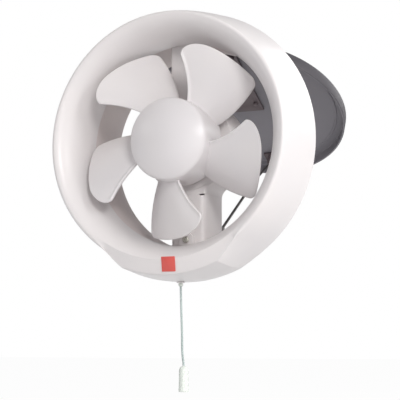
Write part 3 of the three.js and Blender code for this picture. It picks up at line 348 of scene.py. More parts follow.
mouldedSkin = makeMouldedSkin()
dustFilm = makeDustFilm()
drawnLines = makeDrawnLines()
metalDust = srgb(150, 145, 138)


def placeGroup(tree, group, position, **values):
    inputs = {label.replace("_", " "): value for label, value in values.items()}
    return addNode(tree, "ShaderNodeGroup", {"Position": position, **inputs}, node_tree=group).outputs


def blankMaterial(name):
    material = bpy.data.materials.new(name)
    material.use_nodes = True
    tree = material.node_tree
    position = tree.nodes.new("ShaderNodeTexCoord").outputs["Object"]
    return material, tree, tree.nodes["Principled BSDF"], position


def plasticFinish(name, colour, driftColour, dustColour, gloss, grainScale, grainDepth, dust, coat=0.0):
    material, tree, shader, position = blankMaterial(name)
    moulded = placeGroup(tree, mouldedSkin, position, Grain_Scale=grainScale)
    mask = placeGroup(tree, dustFilm, position, Amount=dust)["Mask"]
    tone = mixColour(tree, moulded["Drift"], colour, driftColour)
    rough = mathNode(tree, "MULTIPLY_ADD", moulded["Drift"], 0.06, gloss)
    fillInputs(tree, shader, {
        "Base Color": mixColour(tree, mask, tone, dustColour),
        "Roughness": mathNode(tree, "MULTIPLY_ADD", mask, 0.3, rough),
        "Normal": bumpNode(tree, moulded["Grain"], grainDepth, 0.0004),
        "Coat Weight": coat, "Coat Roughness": 0.25, "Specular IOR Level": 0.45})
    return material


def metalFinish(name, colour, wornColour, metallic, gloss, stretch, lineDepth, dust):
    material, tree, shader, position = blankMaterial(name)
    lines = placeGroup(tree, drawnLines, position, Stretch=stretch)["Lines"]
    mask = placeGroup(tree, dustFilm, position, Amount=dust)["Mask"]
    worn = rampNode(tree, lines, 0.35, 0.75)
    fillInputs(tree, shader, {
        "Base Color": mixColour(tree, mask, mixColour(tree, worn, colour, wornColour), metalDust),
        "Roughness": mathNode(tree, "MULTIPLY_ADD", worn, 0.14, gloss),
        "Normal": bumpNode(tree, lines, lineDepth, 0.0003),
        "Metallic": metallic})
    return material


whitePlastic = plasticFinish(
    "whiteMoulding", srgb(236, 231, 230), srgb(232, 228, 228), srgb(214, 208, 202),
    0.34, 1500, 0.10, 0.10, 0.15)
bladePlastic = plasticFinish(
    "bladeMoulding", srgb(234, 229, 228), srgb(229, 225, 226), srgb(212, 206, 202),
    0.30, 1700, 0.06, 0.10, 0.2)
# Painted shade: the duct is the same white moulding, given a darker, warmer colour because it sits in shade
# inside the ring; its dust film is real dust.
ductShadedPlastic = plasticFinish(
    "ductShadedMoulding", srgb(226, 216, 213), srgb(220, 210, 208), srgb(190, 180, 172),
    0.42, 1300, 0.15, 0.22)
shutterGrey = plasticFinish(
    "shutterGreyMoulding", srgb(134, 131, 137), srgb(129, 126, 132), srgb(148, 144, 142),
    0.46, 1100, 0.22, 0.22)
darkPlastic = plasticFinish(
    "darkMoulding", srgb(52, 53, 57), srgb(58, 58, 61), srgb(110, 108, 105),
    0.5, 1100, 0.2, 0.2)
gasketRubber = plasticFinish(
    "gasketRubber", srgb(38, 38, 41), srgb(46, 45, 48), srgb(112, 108, 104),
    0.72, 1600, 0.45, 0.35)
knobPlastic = plasticFinish(
    "knobMoulding", srgb(240, 246, 238), srgb(234, 242, 234), srgb(214, 212, 204),
    0.26, 1500, 0.05, 0.12, 0.3)
badgePaint = plasticFinish(
    "badgePaint", srgb(222, 92, 84), srgb(216, 86, 79), srgb(206, 130, 122),
    0.38, 1500, 0.06, 0.12, 0.3)
darkPaint = metalFinish(
    "darkPaintedSheet", srgb(86, 74, 78), srgb(96, 84, 87), 0.25, 0.45, (300, 300, 300), 0.12, 0.2)
rodSteel = metalFinish(
    "darkDrawnRod", srgb(92, 89, 88), srgb(132, 128, 126), 0.75, 0.34, (500, 60, 60), 0.2, 0.2)
plainSteel = metalFinish(
    "turnedSteel", srgb(150, 148, 146), srgb(176, 173, 170), 0.9, 0.28, (90, 900, 90), 0.16, 0.15)
zincPlate = metalFinish(
    "zincPlate", srgb(196, 195, 186), srgb(212, 210, 203), 0.75, 0.34, (420, 420, 420), 0.18, 0.2)
copperWire = metalFinish(
    "varnishedCopper", srgb(168, 96, 52), srgb(190, 116, 66), 0.8, 0.34, (900, 120, 900), 0.5, 0.2)
print("stage: materials")


# Pull cord

cordSizes = {
    "diameter": 2.3,
    "route": [(-1, -15, -131.8), (-1, -15, -141), (-0.6, -15, -158), (0.4, -15, -187), (0.8, -15, -206),
              (2.3, -15, -219.7)],
    "pointsPerRun": 6,
    "strands": 2,
    "strandPitch": 3.6,
    "strandDepth": 0.2,
    "sides": 14,
    "ringStep": 0.3,
}


# A smooth line through the route's points, as a Catmull-Rom spline with centripetal knots.
def smoothRoute(points, perRun):
    points = [Vector(point) for point in points]
    ends = [points[0] * 2 - points[1]] + points + [points[-1] * 2 - points[-2]]
    line = []
    for i in range(1, len(ends) - 2):
        a, b, c, d = ends[i - 1:i + 3]
        knots = [0.0]
        for first, second in ((a, b), (b, c), (c, d)):
            knots.append(knots[-1] + math.sqrt((second - first).length))
        for k in range(perRun):
            t = knots[1] + (knots[2] - knots[1]) * k / perRun
            ab = a.lerp(b, (t - knots[0]) / (knots[1] - knots[0]))
            bc = b.lerp(c, (t - knots[1]) / (knots[2] - knots[1]))
            cd = c.lerp(d, (t - knots[2]) / (knots[3] - knots[2]))
            abc = ab.lerp(bc, (t - knots[0]) / (knots[2] - knots[0]))
            bcd = bc.lerp(cd, (t - knots[1]) / (knots[3] - knots[1]))
            line.append(abc.lerp(bcd, (t - knots[1]) / (knots[2] - knots[1])))
    return line + [points[-1]]


# Two plies laid round each other: the section is a two-lobed round that turns along the line.
def makePullCord():
    size = cordSizes
    line = smoothRoute(size["route"], size["pointsPerRun"])
    length = sum((b - a).length for a, b in zip(line, line[1:]))
    rings = int(length / size["ringStep"])
    sections = []
    along = 0
    run = 0
    for i in range(rings + 1):
        target = length * i / rings
        while run < len(line) - 2 and along + (line[run + 1] - line[run]).length < target:
            along += (line[run + 1] - line[run]).length
            run += 1
        step = (line[run + 1] - line[run]).normalized()
        centre = line[run] + step * (target - along)
        side = step.cross(Vector((0, 1, 0))).normalized()
        front = side.cross(step)
        lay = 2 * math.pi * target / size["strandPitch"]
        section = []
        for k in range(size["sides"]):
            turn = 2 * math.pi * k / size["sides"]
            lobe = abs(math.cos(size["strands"] / 2 * (turn - lay))) ** 0.7
            reach = size["diameter"] / 2 * (1 - size["strandDepth"] * (1 - lobe))
            section.append(centre + side * reach * math.cos(turn) + front * reach * math.sin(turn))
        sections.append(section)
    return skin("pullCordTwist", sections, sharpAngle=70), line, length


def cordFinish():
    material, tree, shader, position = blankMaterial("twistedCord")
    mask = placeGroup(tree, dustFilm, position, Amount=0.35, Smear_Scale=120.0)["Mask"]
    strands = noiseNode(tree, position, 2600, 2, 0.6)
    tone = mixColour(tree, rampNode(tree, strands, 0.35, 0.65), srgb(150, 168, 166), srgb(214, 224, 220))
    fillInputs(tree, shader, {
        "Base Color": mixColour(tree, mask, tone, srgb(104, 116, 114)),
        "Normal": bumpNode(tree, strands, 0.5, 0.0002),
        "Roughness": 0.75, "Sheen Weight": 0.2})
    return material


pullCord, cordLine, cordLength = makePullCord()
dress(pullCord, cordFinish(), "cord", "pull", "pull_cord")

beadSizes = {"bore": 1.45, "radius": 2.45, "top": -139.3, "height": 3.0}
knobSizes = {"x": 2.3, "y": -15, "top": -220, "length": 25, "radius": 5.2}


def makeBead():
    bore, radius, top = beadSizes["bore"], beadSizes["radius"], beadSizes["top"]
    low = top - beadSizes["height"]
    outline = roundedOutline([(bore, top, 0.2), (radius - 0.3, top, 0.5), (radius, (top + low) / 2, 0.8),
                              (radius - 0.3, low, 0.5), (bore, low, 0.2)])
    return turnedUpright("cordBeadRing", outline, cordSizes["route"][0][0], cordSizes["route"][0][1])


def makeKnob():
    top, radius = knobSizes["top"], knobSizes["radius"]
    low = top - knobSizes["length"]
    outline = [(0, top), (1.1, top - 0.08, 0.3), (2.6, top - 0.6), (3.7, top - 1.7), (4.3, top - 3.1),
               (4.6, top - 5.0), (4.7, top - 14), (4.85, top - 20), (radius, low + 1.2, 0.8),
               (radius - 0.5, low, 0.4), (3.4, low, 0.3), (3.0, low + 1.4, 0.3), (0, low + 1.4)]
    return turnedUpright("cordKnobBell", roundedOutline(outline), knobSizes["x"], knobSizes["y"], 48)


cordBead = dress(makeBead(), knobPlastic, "knob_plastic", "pull", "cord_bead")
cordKnob = dress(makeKnob(), knobPlastic, "knob_plastic", "pull", "cord_knob")
print("stage: pull cord, length", round(cordLength, 1), "mm")


# Front ring

ringSizes = {
    "rim": 136, "crest": 124.2, "crestDepth": 58.8, "crestRound": 2.6,
    "throat": 102, "throatStart": 9, "throatEnd": 8, "wall": 2.6, "bulge": 0.2, "rearEdge": 0.7,
    "chin": 137.8, "chinInner": 116, "chinInnerDepth": 57.5, "lip": 133.3, "lipDepth": 55, "lipRound": 1.8,
    "cordHole": 2.9, "sharpAngle": 24,
    "chinSideDepth": 20, "cornerAngle": 22.2, "crestAngle": 33.8, "blendAngle": 37,
    "innerBlendAngle": 46, "chinTurn": 2.2,
    "chinColumns": 26, "blendColumns": 22, "plainColumns": 92,
}


def bandRadius(y):
    share = -y / ringSizes["crestDepth"]
    drop = ringSizes["crest"] - ringSizes["rim"]
    return ringSizes["rim"] + drop * ((1 - ringSizes["bulge"]) * share + ringSizes["bulge"] * share ** 4)


def bandPoint(y, inset=0):
    return Vector((bandRadius(y) - inset, y))


def bellPoint(turn, offset=0):
    width = ringSizes["crest"] - ringSizes["throat"]
    depth = ringSizes["crestDepth"] - ringSizes["throatStart"]
    x, y = math.cos(math.radians(turn)), math.sin(math.radians(turn))
    point = Vector((ringSizes["throat"] + width * (1 - x), -ringSizes["throatStart"] - depth * y))
    return point + Vector((depth * x, width * y)).normalized() * offset


def chinFace(along, inset=0):
    start = Vector((ringSizes["chinInner"], -ringSizes["chinInnerDepth"]))
    end = Vector((ringSizes["lip"], -ringSizes["lipDepth"]))
    step = (end - start).normalized()
    return start.lerp(end, along) + Vector((-step.y, step.x)) * inset


# Resamples a line to a number of points spaced evenly along it.
def evenly(line, count):
    line = [Vector(point) for point in line]
    marks = [0.0]
    for a, b in zip(line, line[1:]):
        marks.append(marks[-1] + (b - a).length)
    result = []
    k = 0
    for i in range(count):
        target = marks[-1] * i / (count - 1)
        while k < len(line) - 2 and marks[k + 1] < target:
            k += 1
        share = (target - marks[k]) / max(marks[k + 1] - marks[k], 1e-9)
        result.append(line[k].lerp(line[k + 1], min(share, 1)))
    return result


def bend(first, corner, last, count):
    steps = (k / count for k in range(1, count + 1))
    return [first * (1 - s) ** 2 + corner * 2 * s * (1 - s) + last * s ** 2 for s in steps]


# Stations round the ring's section: a plain [radius, y], the chin's own, and the radius that sets
# the chin's corner there.
def ringStations():
    size = ringSizes
    wall, throat, chin = size["wall"], size["throat"], size["chin"]
    stations = []

    def same(points):
        stations.extend((Vector(point), Vector(point), size["chinInner"]) for point in points)

    def add(plainLine, chinLine, cornerRadius=None):
        for plain, own in zip(plainLine, chinLine):
            stations.append((Vector(plain), Vector(own), cornerRadius or min(own[0], size["lip"])))

    same([(throat, -size["throatEnd"]), (throat, -size["throatStart"])])
    same([bellPoint(turn) for turn in range(6, 61, 6)])
    crest = Vector((size["crest"], -size["crestDepth"]))
    before = crest + (bellPoint(84) - crest).normalized() * size["crestRound"]
    after = crest + (bandPoint(-52) - crest).normalized() * size["crestRound"]
    crestLine = [bellPoint(turn) for turn in (66, 70, 74, 78, 82)] + [before]
    crestLine += bend(before, crest, after, 6) + [bandPoint(-55.5)]
    lip = Vector((size["lip"], -size["lipDepth"]))
    side = Vector((chin, -size["chinSideDepth"]))
    faceEnd = lip + (chinFace(0) - lip).normalized() * size["lipRound"]
    sideStart = lip + (side - lip).normalized() * size["lipRound"]
    foot = bellPoint(60) + (bellPoint(62) - bellPoint(60)).normalized() * 4.3
    faceStart = chinFace(0.14)
    faceLine = bend(bellPoint(60), foot, faceStart, 4)
    faceLine += [faceStart.lerp(faceEnd, k / 9) for k in range(1, 10)]
    add(crestLine, faceLine)
    sideLine = bend(faceEnd, lip, sideStart, 5) + [sideStart.lerp(side, k / 5) for k in range(1, 6)]
    add(evenly([bandPoint(y) for y in range(-54, -19, 2)], 10), sideLine)
    sideDepths = (-15, -10, -5, -1.2)
    add([bandPoint(y) for y in sideDepths], [(chin, y) for y in sideDepths])
    add([bandPoint(0, size["rearEdge"])], [(chin - size["rearEdge"], 0)])
    add([bandPoint(0, wall), bandPoint(-18, wall), bandPoint(-40, wall)],
        [(chin - wall, 0), (chin - wall, -18), lip + Vector((-wall, wall))], size["lip"])
    add([bandPoint(-53, wall)], [chinFace(0.5, wall)], size["crest"])
    add([bellPoint(78, wall)], [chinFace(0.15, wall)], size["chinInner"])
    same([bellPoint(turn, wall) for turn in (60, 40, 20, 0)] + [(throat + wall, -size["throatEnd"])])
    return stations


# How far a radius has come from one radius to another, kept within 0..1.
def shareBetween(value, start, end):
    return min(max((value - start) / (end - start), 0), 1)


def cornerAngleAt(radius):
    size = ringSizes
    lean = shareBetween(radius, size["lip"], size["crest"])
    return size["cornerAngle"] + (size["crestAngle"] - size["cornerAngle"]) * lean


# The blend ends further round where the face runs into the bell.
def blendAngleAt(radius):
    size = ringSizes
    inward = shareBetween(radius, size["crest"], size["chinInner"])
    return size["blendAngle"] + (size["innerBlendAngle"] - size["blendAngle"]) * inward


# One column of the ring. place runs 0..1 in the chin, 1..2 in its blend and 2..3 past it.
def ringColumn(stations, place):
    column = []
    for plain, chin, cornerRadius in stations:
        corner, blend = cornerAngleAt(cornerRadius), blendAngleAt(cornerRadius)
        if place <= 1:
            angle, share = corner * place, 1
        elif place <= 2:
            angle, share = corner + (blend - corner) * (place - 1), (2 - place) ** 2
        else:
            angle, share = blend + (180 - blend) * (place - 2), 0
        column.append((plain.lerp(chin, share), angle))
    return column


def makeFrontRing():
    size = ringSizes
    stations = ringStations()
    places = [k / size["chinColumns"] for k in range(size["chinColumns"])] + [0.985, 1, 1.015]
    places += [1 + k / size["blendColumns"] for k in range(1, size["blendColumns"])]
    places += [2 + k / size["plainColumns"] for k in range(size["plainColumns"] + 1)]
    columns = [(ringColumn(stations, place), 1) for place in places]
    columns += [(column, -1) for column, _ in columns[-2:0:-1]]
    sections = []
    for column, side in columns:
        turns = [math.radians(angle * side + size["chinTurn"]) for _, angle in column]
        sections.append([(point.x * math.sin(turn), point.y, -point.x * math.cos(turn))
                         for (point, _), turn in zip(column, turns)])
    return skin("frontRingShell", sections, True, size["sharpAngle"])


frontRing = makeFrontRing()
cordX, cordY, _ = cordSizes["route"][0]
cordHole = rod("cordHole", (cordX, cordY, -145), (cordX, cordY, -129), ringSizes["cordHole"])
carve(frontRing, [cordHole], sharpAngle=ringSizes["sharpAngle"])
dress(frontRing, whitePlastic, "white_plastic", "frame", "front_ring")
print("stage: front ring")

badgeSizes = {
    "size": 14.4, "corner": 0.5, "thickness": 0.5, "edge": 0.15, "lift": 0.3, "x": 5.7, "along": 0.41,
}


# A bare square plate with softened corners, flat on the chin's face.
def makeBadge():
    half, x = badgeSizes["size"] / 2, badgeSizes["x"]
    outline = rectangle(-half, -half, half, half, badgeSizes["corner"])
    low = -badgeSizes["lift"] - badgeSizes["thickness"]
    piece = plate("frontBadgePlate", outline, low, -badgeSizes["lift"], "y")
    bevel(piece, badgeSizes["edge"])
    point = chinFace(badgeSizes["along"])
    down = chinFace(1) - chinFace(0)
    place = Vector((x, point.y, -math.sqrt(point.x ** 2 - x ** 2))) * mm
    piece.data.transform(Matrix.Translation(place) @ Matrix.Rotation(math.atan2(down.y, down.x), 4, "X"))
    return piece


dress(makeBadge(), badgePaint, "badge_red", "frame", "front_badge")
print("stage: badge")


# Impeller

hubSizes = {
    "radius": 40.8, "rearRadius": 42.8, "front": 49, "apex": 61, "rear": 14, "wall": 2, "edge": 5.0,
    "rearEdge": 0.5, "boss": 8, "bossRear": 24, "bore": 4.3, "boreDepth": 50,
}
bladeSizes = {
    "count": 5, "tip": 98, "thickness": 2.2, "rearDepth": 14.7, "rootDrop": 3.7, "rootPitch": 0.445,
    "pitchGain": 0.0058, "trailRoot": 19.3, "trailSweep": 0.26, "trailCorner": 93, "trailCornerTurn": 4,
    "leadRoot": 65.4, "leadSweep": 0.34, "lobe": 83.5, "lobeTip": 61, "rootCamber": 3.2, "tipCamber": 8,
    "rows": 34, "columns": 40, "edgeThin": 1.2,
    "ribHeight": 1.3, "ribWidth": 3.0, "ribFromLead": 1.2, "ribEnd": 86,
    "creaseHeight": 0.3, "creaseWidth": 1.2, "creaseFromTrail": 13, "creaseStart": 56, "creaseEnd": 88,
}


def makeHub():
    size = hubSizes
    wall = size["wall"]
    rise = size["apex"] - size["front"]
    cap = (size["radius"] ** 2 + rise ** 2) / (2 * rise)

    def dome(radius, thickness=0):
        return radius, -size["apex"] + cap - math.sqrt((cap - thickness) ** 2 - radius ** 2)

    outline = [dome(r) for r in range(0, 39, 3)] + [(*dome(size["radius"]), size["edge"])]
    rearRadius = size["rearRadius"]
    outline += [(radius, -size["rear"], size["rearEdge"]) for radius in (rearRadius, rearRadius - wall)]
    outline += [dome(r, wall) for r in (size["radius"] - wall, 32, 24, 16, size["boss"])]
    outline += [(size["boss"], -size["bossRear"], 0.4), (size["bore"], -size["bossRear"]),
                (size["bore"], -size["boreDepth"]), (0, -size["boreDepth"])]
    return turned("hubDome", roundedOutline(outline), 160, 28)


def hubSide(y):
    share = (-y - hubSizes["front"]) / (hubSizes["rear"] - hubSizes["front"])
    return hubSizes["radius"] + (hubSizes["rearRadius"] - hubSizes["radius"]) * share


def trailAngle(radius):
    size = bladeSizes
    over = shareBetween(radius, size["trailCorner"], size["tip"])
    corner = size["trailCornerTurn"] * (1 - math.sqrt(1 - over ** 2))
    return size["trailRoot"] + size["trailSweep"] * (radius - hubSizes["radius"]) + corner


def leadAngle(radius):
    size = bladeSizes
    straight = size["leadRoot"] + size["leadSweep"] * (min(radius, size["lobe"]) - hubSizes["radius"])
    over = shareBetween(radius, size["lobe"], size["tip"])
    return size["lobeTip"] + (straight - size["lobeTip"]) * math.sqrt(1 - over ** 2)


def bladeDepth(radius, angle):
    size = bladeSizes
    out = radius - hubSizes["radius"]
    rear = size["rearDepth"] + size["rootDrop"] * math.exp(-out / 15)
    start = size["trailRoot"] + size["trailSweep"] * out
    along = shareBetween(angle, start, size["leadRoot"] + size["leadSweep"] * out)
    share = out / (size["tip"] - hubSizes["radius"])
    camber = size["rootCamber"] + (size["tipCamber"] - size["rootCamber"]) * share
    pitch = size["rootPitch"] + size["pitchGain"] * out
    return -rear - pitch * (angle - start) - camber * 4 * along * (1 - along)


# One blade as a closed sheet with rounded edges and a raised bead along its leading edge.
def makeBladeMesh():
    size = bladeSizes
    span = size["tip"] - hubSizes["radius"]
    grid = []
    for row in range(size["rows"] + 1):
        share = math.sin(math.pi / 2 * row / size["rows"]) ** 0.9
        radius = hubSizes["radius"] + share * span
        trail, lead = trailAngle(radius), leadAngle(radius)
        line = []
        for k in range(size["columns"] + 1):
            t = 0.5 - 0.5 * math.cos(math.pi * k / size["columns"])
            angle = trail + (lead - trail) * t
            depth = bladeDepth(radius, angle)
            reach = hubSide(depth) - hubSizes["wall"] / 2 if row == 0 else radius
            edge = min(t, 1 - t) * math.radians(lead - trail) * radius
            edge = min(edge, (1 - share) * span + 0.01) if share > 0.5 else edge
            half = size["thickness"] / 2 * math.sqrt(min(1, 0.25 + edge / size["edgeThin"]))
            fromRib = math.radians(lead - angle) * radius - size["ribFromLead"]
            fade = shareBetween(radius, size["ribEnd"], size["ribEnd"] - 2)
            bead = size["ribHeight"] * fade * math.exp(-(fromRib / (size["ribWidth"] / 2)) ** 2)
            fromTrail = math.radians(angle - trail) * radius - size["creaseFromTrail"]
            reached = shareBetween(min(radius - size["creaseStart"], size["creaseEnd"] - radius), 0, 6)
            bead += size["creaseHeight"] * reached * math.exp(-(fromTrail / size["creaseWidth"]) ** 2)
            line.append((reach, angle, depth, half, bead))
        grid.append(line)
    points = []
    for side in (-1, 1):
        for line in grid:
            for reach, angle, depth, half, bead in line:
                turn = math.radians(angle)
                y = depth + side * (half + bead)
                points.append((reach * math.cos(turn), y, reach * math.sin(turn)))
    width = size["columns"] + 1
    layer = len(grid) * width
    faces = []
    for row in range(size["rows"]):
        for k in range(size["columns"]):
            a = row * width + k
            faces.append((a, a + 1, a + width + 1, a + width))
            faces.append((layer + a, layer + a + width, layer + a + width + 1, layer + a + 1))
        a, b = row * width, row * width + size["columns"]
        faces.append((a, a + width, a + width + layer, a + layer))
        faces.append((b, b + layer, b + width + layer, b + width))
    last = size["rows"] * width
    for k in range(size["columns"]):
        faces.append((k, k + layer, k + 1 + layer, k + 1))
        faces.append((last + k, last + k + 1, last + k + 1 + layer, last + k + layer))
    mesh = bpy.data.meshes.new("bladeSheet")
    mesh.from_pydata([Vector(point) * mm for point in points], [], faces)
    cleanMesh(mesh, 60)
    return mesh


# Ends a Geometry Nodes tree: real geometry with the finish on it.
def closeTree(tree, entry, leave, instances):
    real = addNode(tree, "GeometryNodeRealizeInstances", {"Geometry": instances}).outputs["Geometry"]
    inputs = {"Geometry": real, "Material": entry["Finish"]}
    finish = addNode(tree, "GeometryNodeSetMaterial", inputs).outputs["Geometry"]
    fillInputs(tree, leave, {"Geometry": finish})
    return tree


# Geometry Nodes: copies of one piece turned round the fan axis.
def makeCircleTree(name):
    tree, entry, leave = groupShell(
        name, "GeometryNodeTree",
        [("Template", "NodeSocketObject"), ("Count", "NodeSocketInt"), ("First Turn", "NodeSocketFloat"),
         ("Finish", "NodeSocketMaterial")],
        [("Geometry", "NodeSocketGeometry")])
    line = addNode(tree, "GeometryNodeMeshLine", {"Offset": (0, 0, 0), "Count": entry["Count"]})
    info = addNode(tree, "GeometryNodeObjectInfo", {"Object": entry["Template"]})
    index = addNode(tree, "GeometryNodeInputIndex", {}).outputs[0]
    share = mathNode(tree, "DIVIDE", index, entry["Count"])
    turn = mathNode(tree, "MULTIPLY_ADD", share, -2 * math.pi, entry["First Turn"])
    rotation = addNode(tree, "ShaderNodeCombineXYZ", {"Y": turn}).outputs[0]
    copies = addNode(tree, "GeometryNodeInstanceOnPoints", {
        "Points": line.outputs["Mesh"], "Instance": info.outputs["Geometry"], "Rotation": rotation})
    return closeTree(tree, entry, leave, copies.outputs["Instances"])


def setInputs(modifier, values):
    for item in modifier.node_group.interface.items_tree:
        if item.item_type == "SOCKET" and item.in_out == "INPUT" and item.name in values:
            modifier[item.identifier] = values[item.name]


# Runs a tree on a mesh, or on an empty one, and keeps its result as a plain mesh.
def runTree(name, tree, source, values, sharpAngle=32):
    carrier = addObject(name, source or bpy.data.meshes.new(name))
    modifier = carrier.modifiers.new("repeat", "NODES")
    modifier.node_group = tree
    setInputs(modifier, values)
    return settle(carrier, sharpAngle)


# Copies a template round the fan axis and drops the template.
def circle(name, template, count, finish, firstTurn=0.0, sharpAngle=32):
    values = {"Template": template, "Count": count, "First Turn": firstTurn, "Finish": finish}
    copies = runTree(name, circleTree, None, values, sharpAngle)
    dropObject(template)
    return copies


circleTree = makeCircleTree("turnedCopies")
bladeTemplate = addObject("bladeTemplate", makeBladeMesh())
blades = circle("bladeSet", bladeTemplate, bladeSizes["count"], bladePlastic, sharpAngle=60)
impeller = makeHub()
carve(impeller, [blades], "UNION", 40)
dress(impeller, bladePlastic, "blade_plastic", "impeller", "impeller")
print("stage: impeller", len(impeller.data.polygons), "faces")


# Duct, gaskets and clamp

ductSizes = {
    "inner": 105, "wall": 3.5, "front": -7.7, "rear": 49, "flangeFront": -6, "flangeRear": -3.4,
    "flange": 131, "seat": 113, "seatThickness": 3, "screwCircle": 116, "screwY": 30, "screwSeat": 108.5,
    "hole": 2.1,
}
screwAngles = (45, 135, 225, 315)


# A round hole along one line, slightly wider than a screw's shank.
def screwHole(start, end):
    return rod("hole", start, end, ductSizes["hole"])


def makeDuct():
    size = ductSizes
    outer, seatFront = size["inner"] + size["wall"], size["rear"] - size["seatThickness"]
    outline = roundedOutline([
        (size["inner"], size["front"], 0.5), (outer, size["front"], 0.4), (outer, size["flangeFront"]),
        (size["flange"], size["flangeFront"], 0.5), (size["flange"], size["flangeRear"], 0.5),
        (outer, size["flangeRear"], 0.8), (outer, seatFront, 1.0), (size["seat"], seatFront, 0.8),
        (size["seat"], size["rear"], 0.8), (size["inner"], size["rear"], 1.2)])
    duct = turned("ductTubeShell", outline, 224)
    tools = [screwHole((0, size["screwY"], side * 100), (0, size["screwY"], side * 113)) for side in (1, -1)]
    for angle in screwAngles:
        x, z = polar(size["screwCircle"], angle)
        tools.append(screwHole((x, -9, z), (x, 0, z)))
    return carve(duct, tools)


# The duct wears the shade-darkened copy of the white moulding.
dress(makeDuct(), ductShadedPlastic, "white_plastic", "frame", "duct_tube")

# Each is (name, inner radius, outer radius, front, back, edge), keyed by its node.
gaskets = {
    "inner_gasket": ("innerGasketRing", 121, 131, -3.1, 0, 0.7),
    "outer_gasket": ("outerGasketRing", 111, 127, 5, 7.7, 0.7),
    "lid_seal": ("lidSealRing", 106.5, 112.5, 49.3, 50.2, 0.3),
}
for node, (name, inner, outer, low, high, edge) in gaskets.items():
    gasket = turned(name, rectangle(inner, low, outer, high, edge), 200)
    dress(gasket, gasketRubber, "gasket_rubber", "frame", node)

clampSizes = {
    "bore": 109, "outer": 128, "front": 8, "back": 11, "collarWall": 2.6, "collarBack": 22, "screwY": 16.5,
    "ribs": 36, "ribHalf": 0.9, "firstRib": 5,
}


def makeClamp():
    size = clampSizes
    collar, back = size["bore"] + size["collarWall"], size["back"]
    outline = roundedOutline([
        (size["bore"], size["front"], 0.4), (size["outer"], size["front"], 0.8), (size["outer"], back, 0.8),
        (collar, back, 1.0), (collar, size["collarBack"], 0.7), (size["bore"], size["collarBack"], 0.7)])
    clamp = turned("clampRingShell", outline, 200)
    root, foot = collar - 0.6, back - 0.5
    corners = [(root, foot), (size["outer"] - 4, foot), (root, size["collarBack"] - 3)]
    rib = plate("ribTemplate", corners, -size["ribHalf"], size["ribHalf"], "x")
    rib.data.transform(Matrix(((0, 1, 0, 0), (0, 0, 1, 0), (1, 0, 0, 0), (0, 0, 0, 1))))
    ribs = circle("clampRibs", rib, size["ribs"], whitePlastic, math.radians(size["firstRib"]))
    carve(clamp, [ribs], "UNION")
    tools = []
    for angle in screwAngles:
        x, z = polar(1, angle)
        tools.append(screwHole((107 * x, size["screwY"], 107 * z), (114 * x, size["screwY"], 114 * z)))
    return carve(clamp, tools)


dress(makeClamp(), whitePlastic, "white_plastic", "frame", "clamp_ring")
print("stage: duct and clamp")


# Motor bridge, post cover and rear cover

postSizes = {
    "half": 19, "front": -2, "rear": 39, "corner": 6, "bridgeCorner": 2.2, "wall": 2.2, "reach": 104.7,
    "canRadius": 48, "canWall": 2.2, "canEdge": 0.4, "fillet": 12, "low": -90, "high": 120,
    "coverTop": -50, "coverWall": 2, "coverLift": 0.25,
    "spineHalf": 16.6, "spineHollow": 14.4, "spineFront": 22, "boss": 4.2, "rearBoss": 3.6,
    "rearScrews": (86, -92), "coverRear": 39.3, "coverBack": 41.5,
    "lugRadius": 8, "lugProud": 3, "lugHeight": -95.5,
    "slitX": (13.2, 17.8), "slitDrop": 1.3, "slitDepth": 4,
    "vents": 20, "ventHalf": 1.3, "ventFrom": 17, "ventTo": 33, "ventDepth": 0.8,
}


# The post's outline seen along the fan axis, drawn in by an inset: side, fillet, can, fillet, side.
def postOutline(inset, low, high):
    size = postSizes
    half, can, fillet = size["half"] - inset, size["canRadius"] - inset, size["fillet"] + inset
    centreX = size["half"] + size["fillet"]
    centreZ = math.sqrt((size["canRadius"] + size["fillet"]) ** 2 - centreX ** 2)
    touch = math.atan2(centreZ, centreX)
    turns = [math.pi + touch * k / 8 for k in range(9)]
    arc = [(centreX + fillet * math.cos(turn), centreZ + fillet * math.sin(turn)) for turn in turns]
    start = touch if high > centreZ else math.asin(min(high / can, 1))
    stop = -touch if low < -centreZ else math.asin(max(low / can, -1))
    right = [(half, high)] + arc if high > centreZ else []
    right += [(can * math.cos(turn), can * math.sin(turn))
              for turn in (start + (stop - start) * k / 20 for k in range(21))]
    if low < -centreZ:
        right += [(x, -z) for x, z in reversed(arc)] + [(half, low)]
    return right + [(-x, z) for x, z in reversed(right)]


# Lofts [x, z] outlines along Y. They all have the same number of points.
def loft(name, layers):
    return skin(name, [[(x, y, z) for x, z in outline] for y, outline in layers])


def roundedBody(name, front, corner, rear, low, high):
    layers = []
    for k in range(8):
        turn = math.pi / 2 * k / 7
        outline = postOutline(corner * (1 - math.sin(turn)), low, high)
        layers.append((front + corner * (1 - math.cos(turn)), outline))
    return loft(name, layers + [(rear, postOutline(0, low, high))])


# A plug of the duct's bore, which trims a piece to it.
def ductPlug(low, high):
    radius = postSizes["reach"]
    return turned("reach", [(0, low), (radius, low), (radius, high), (0, high)], 200)


def postHole(low, high, z):
    return rod("hole", (0, low, z), (0, high, z), ductSizes["hole"], steps=20)


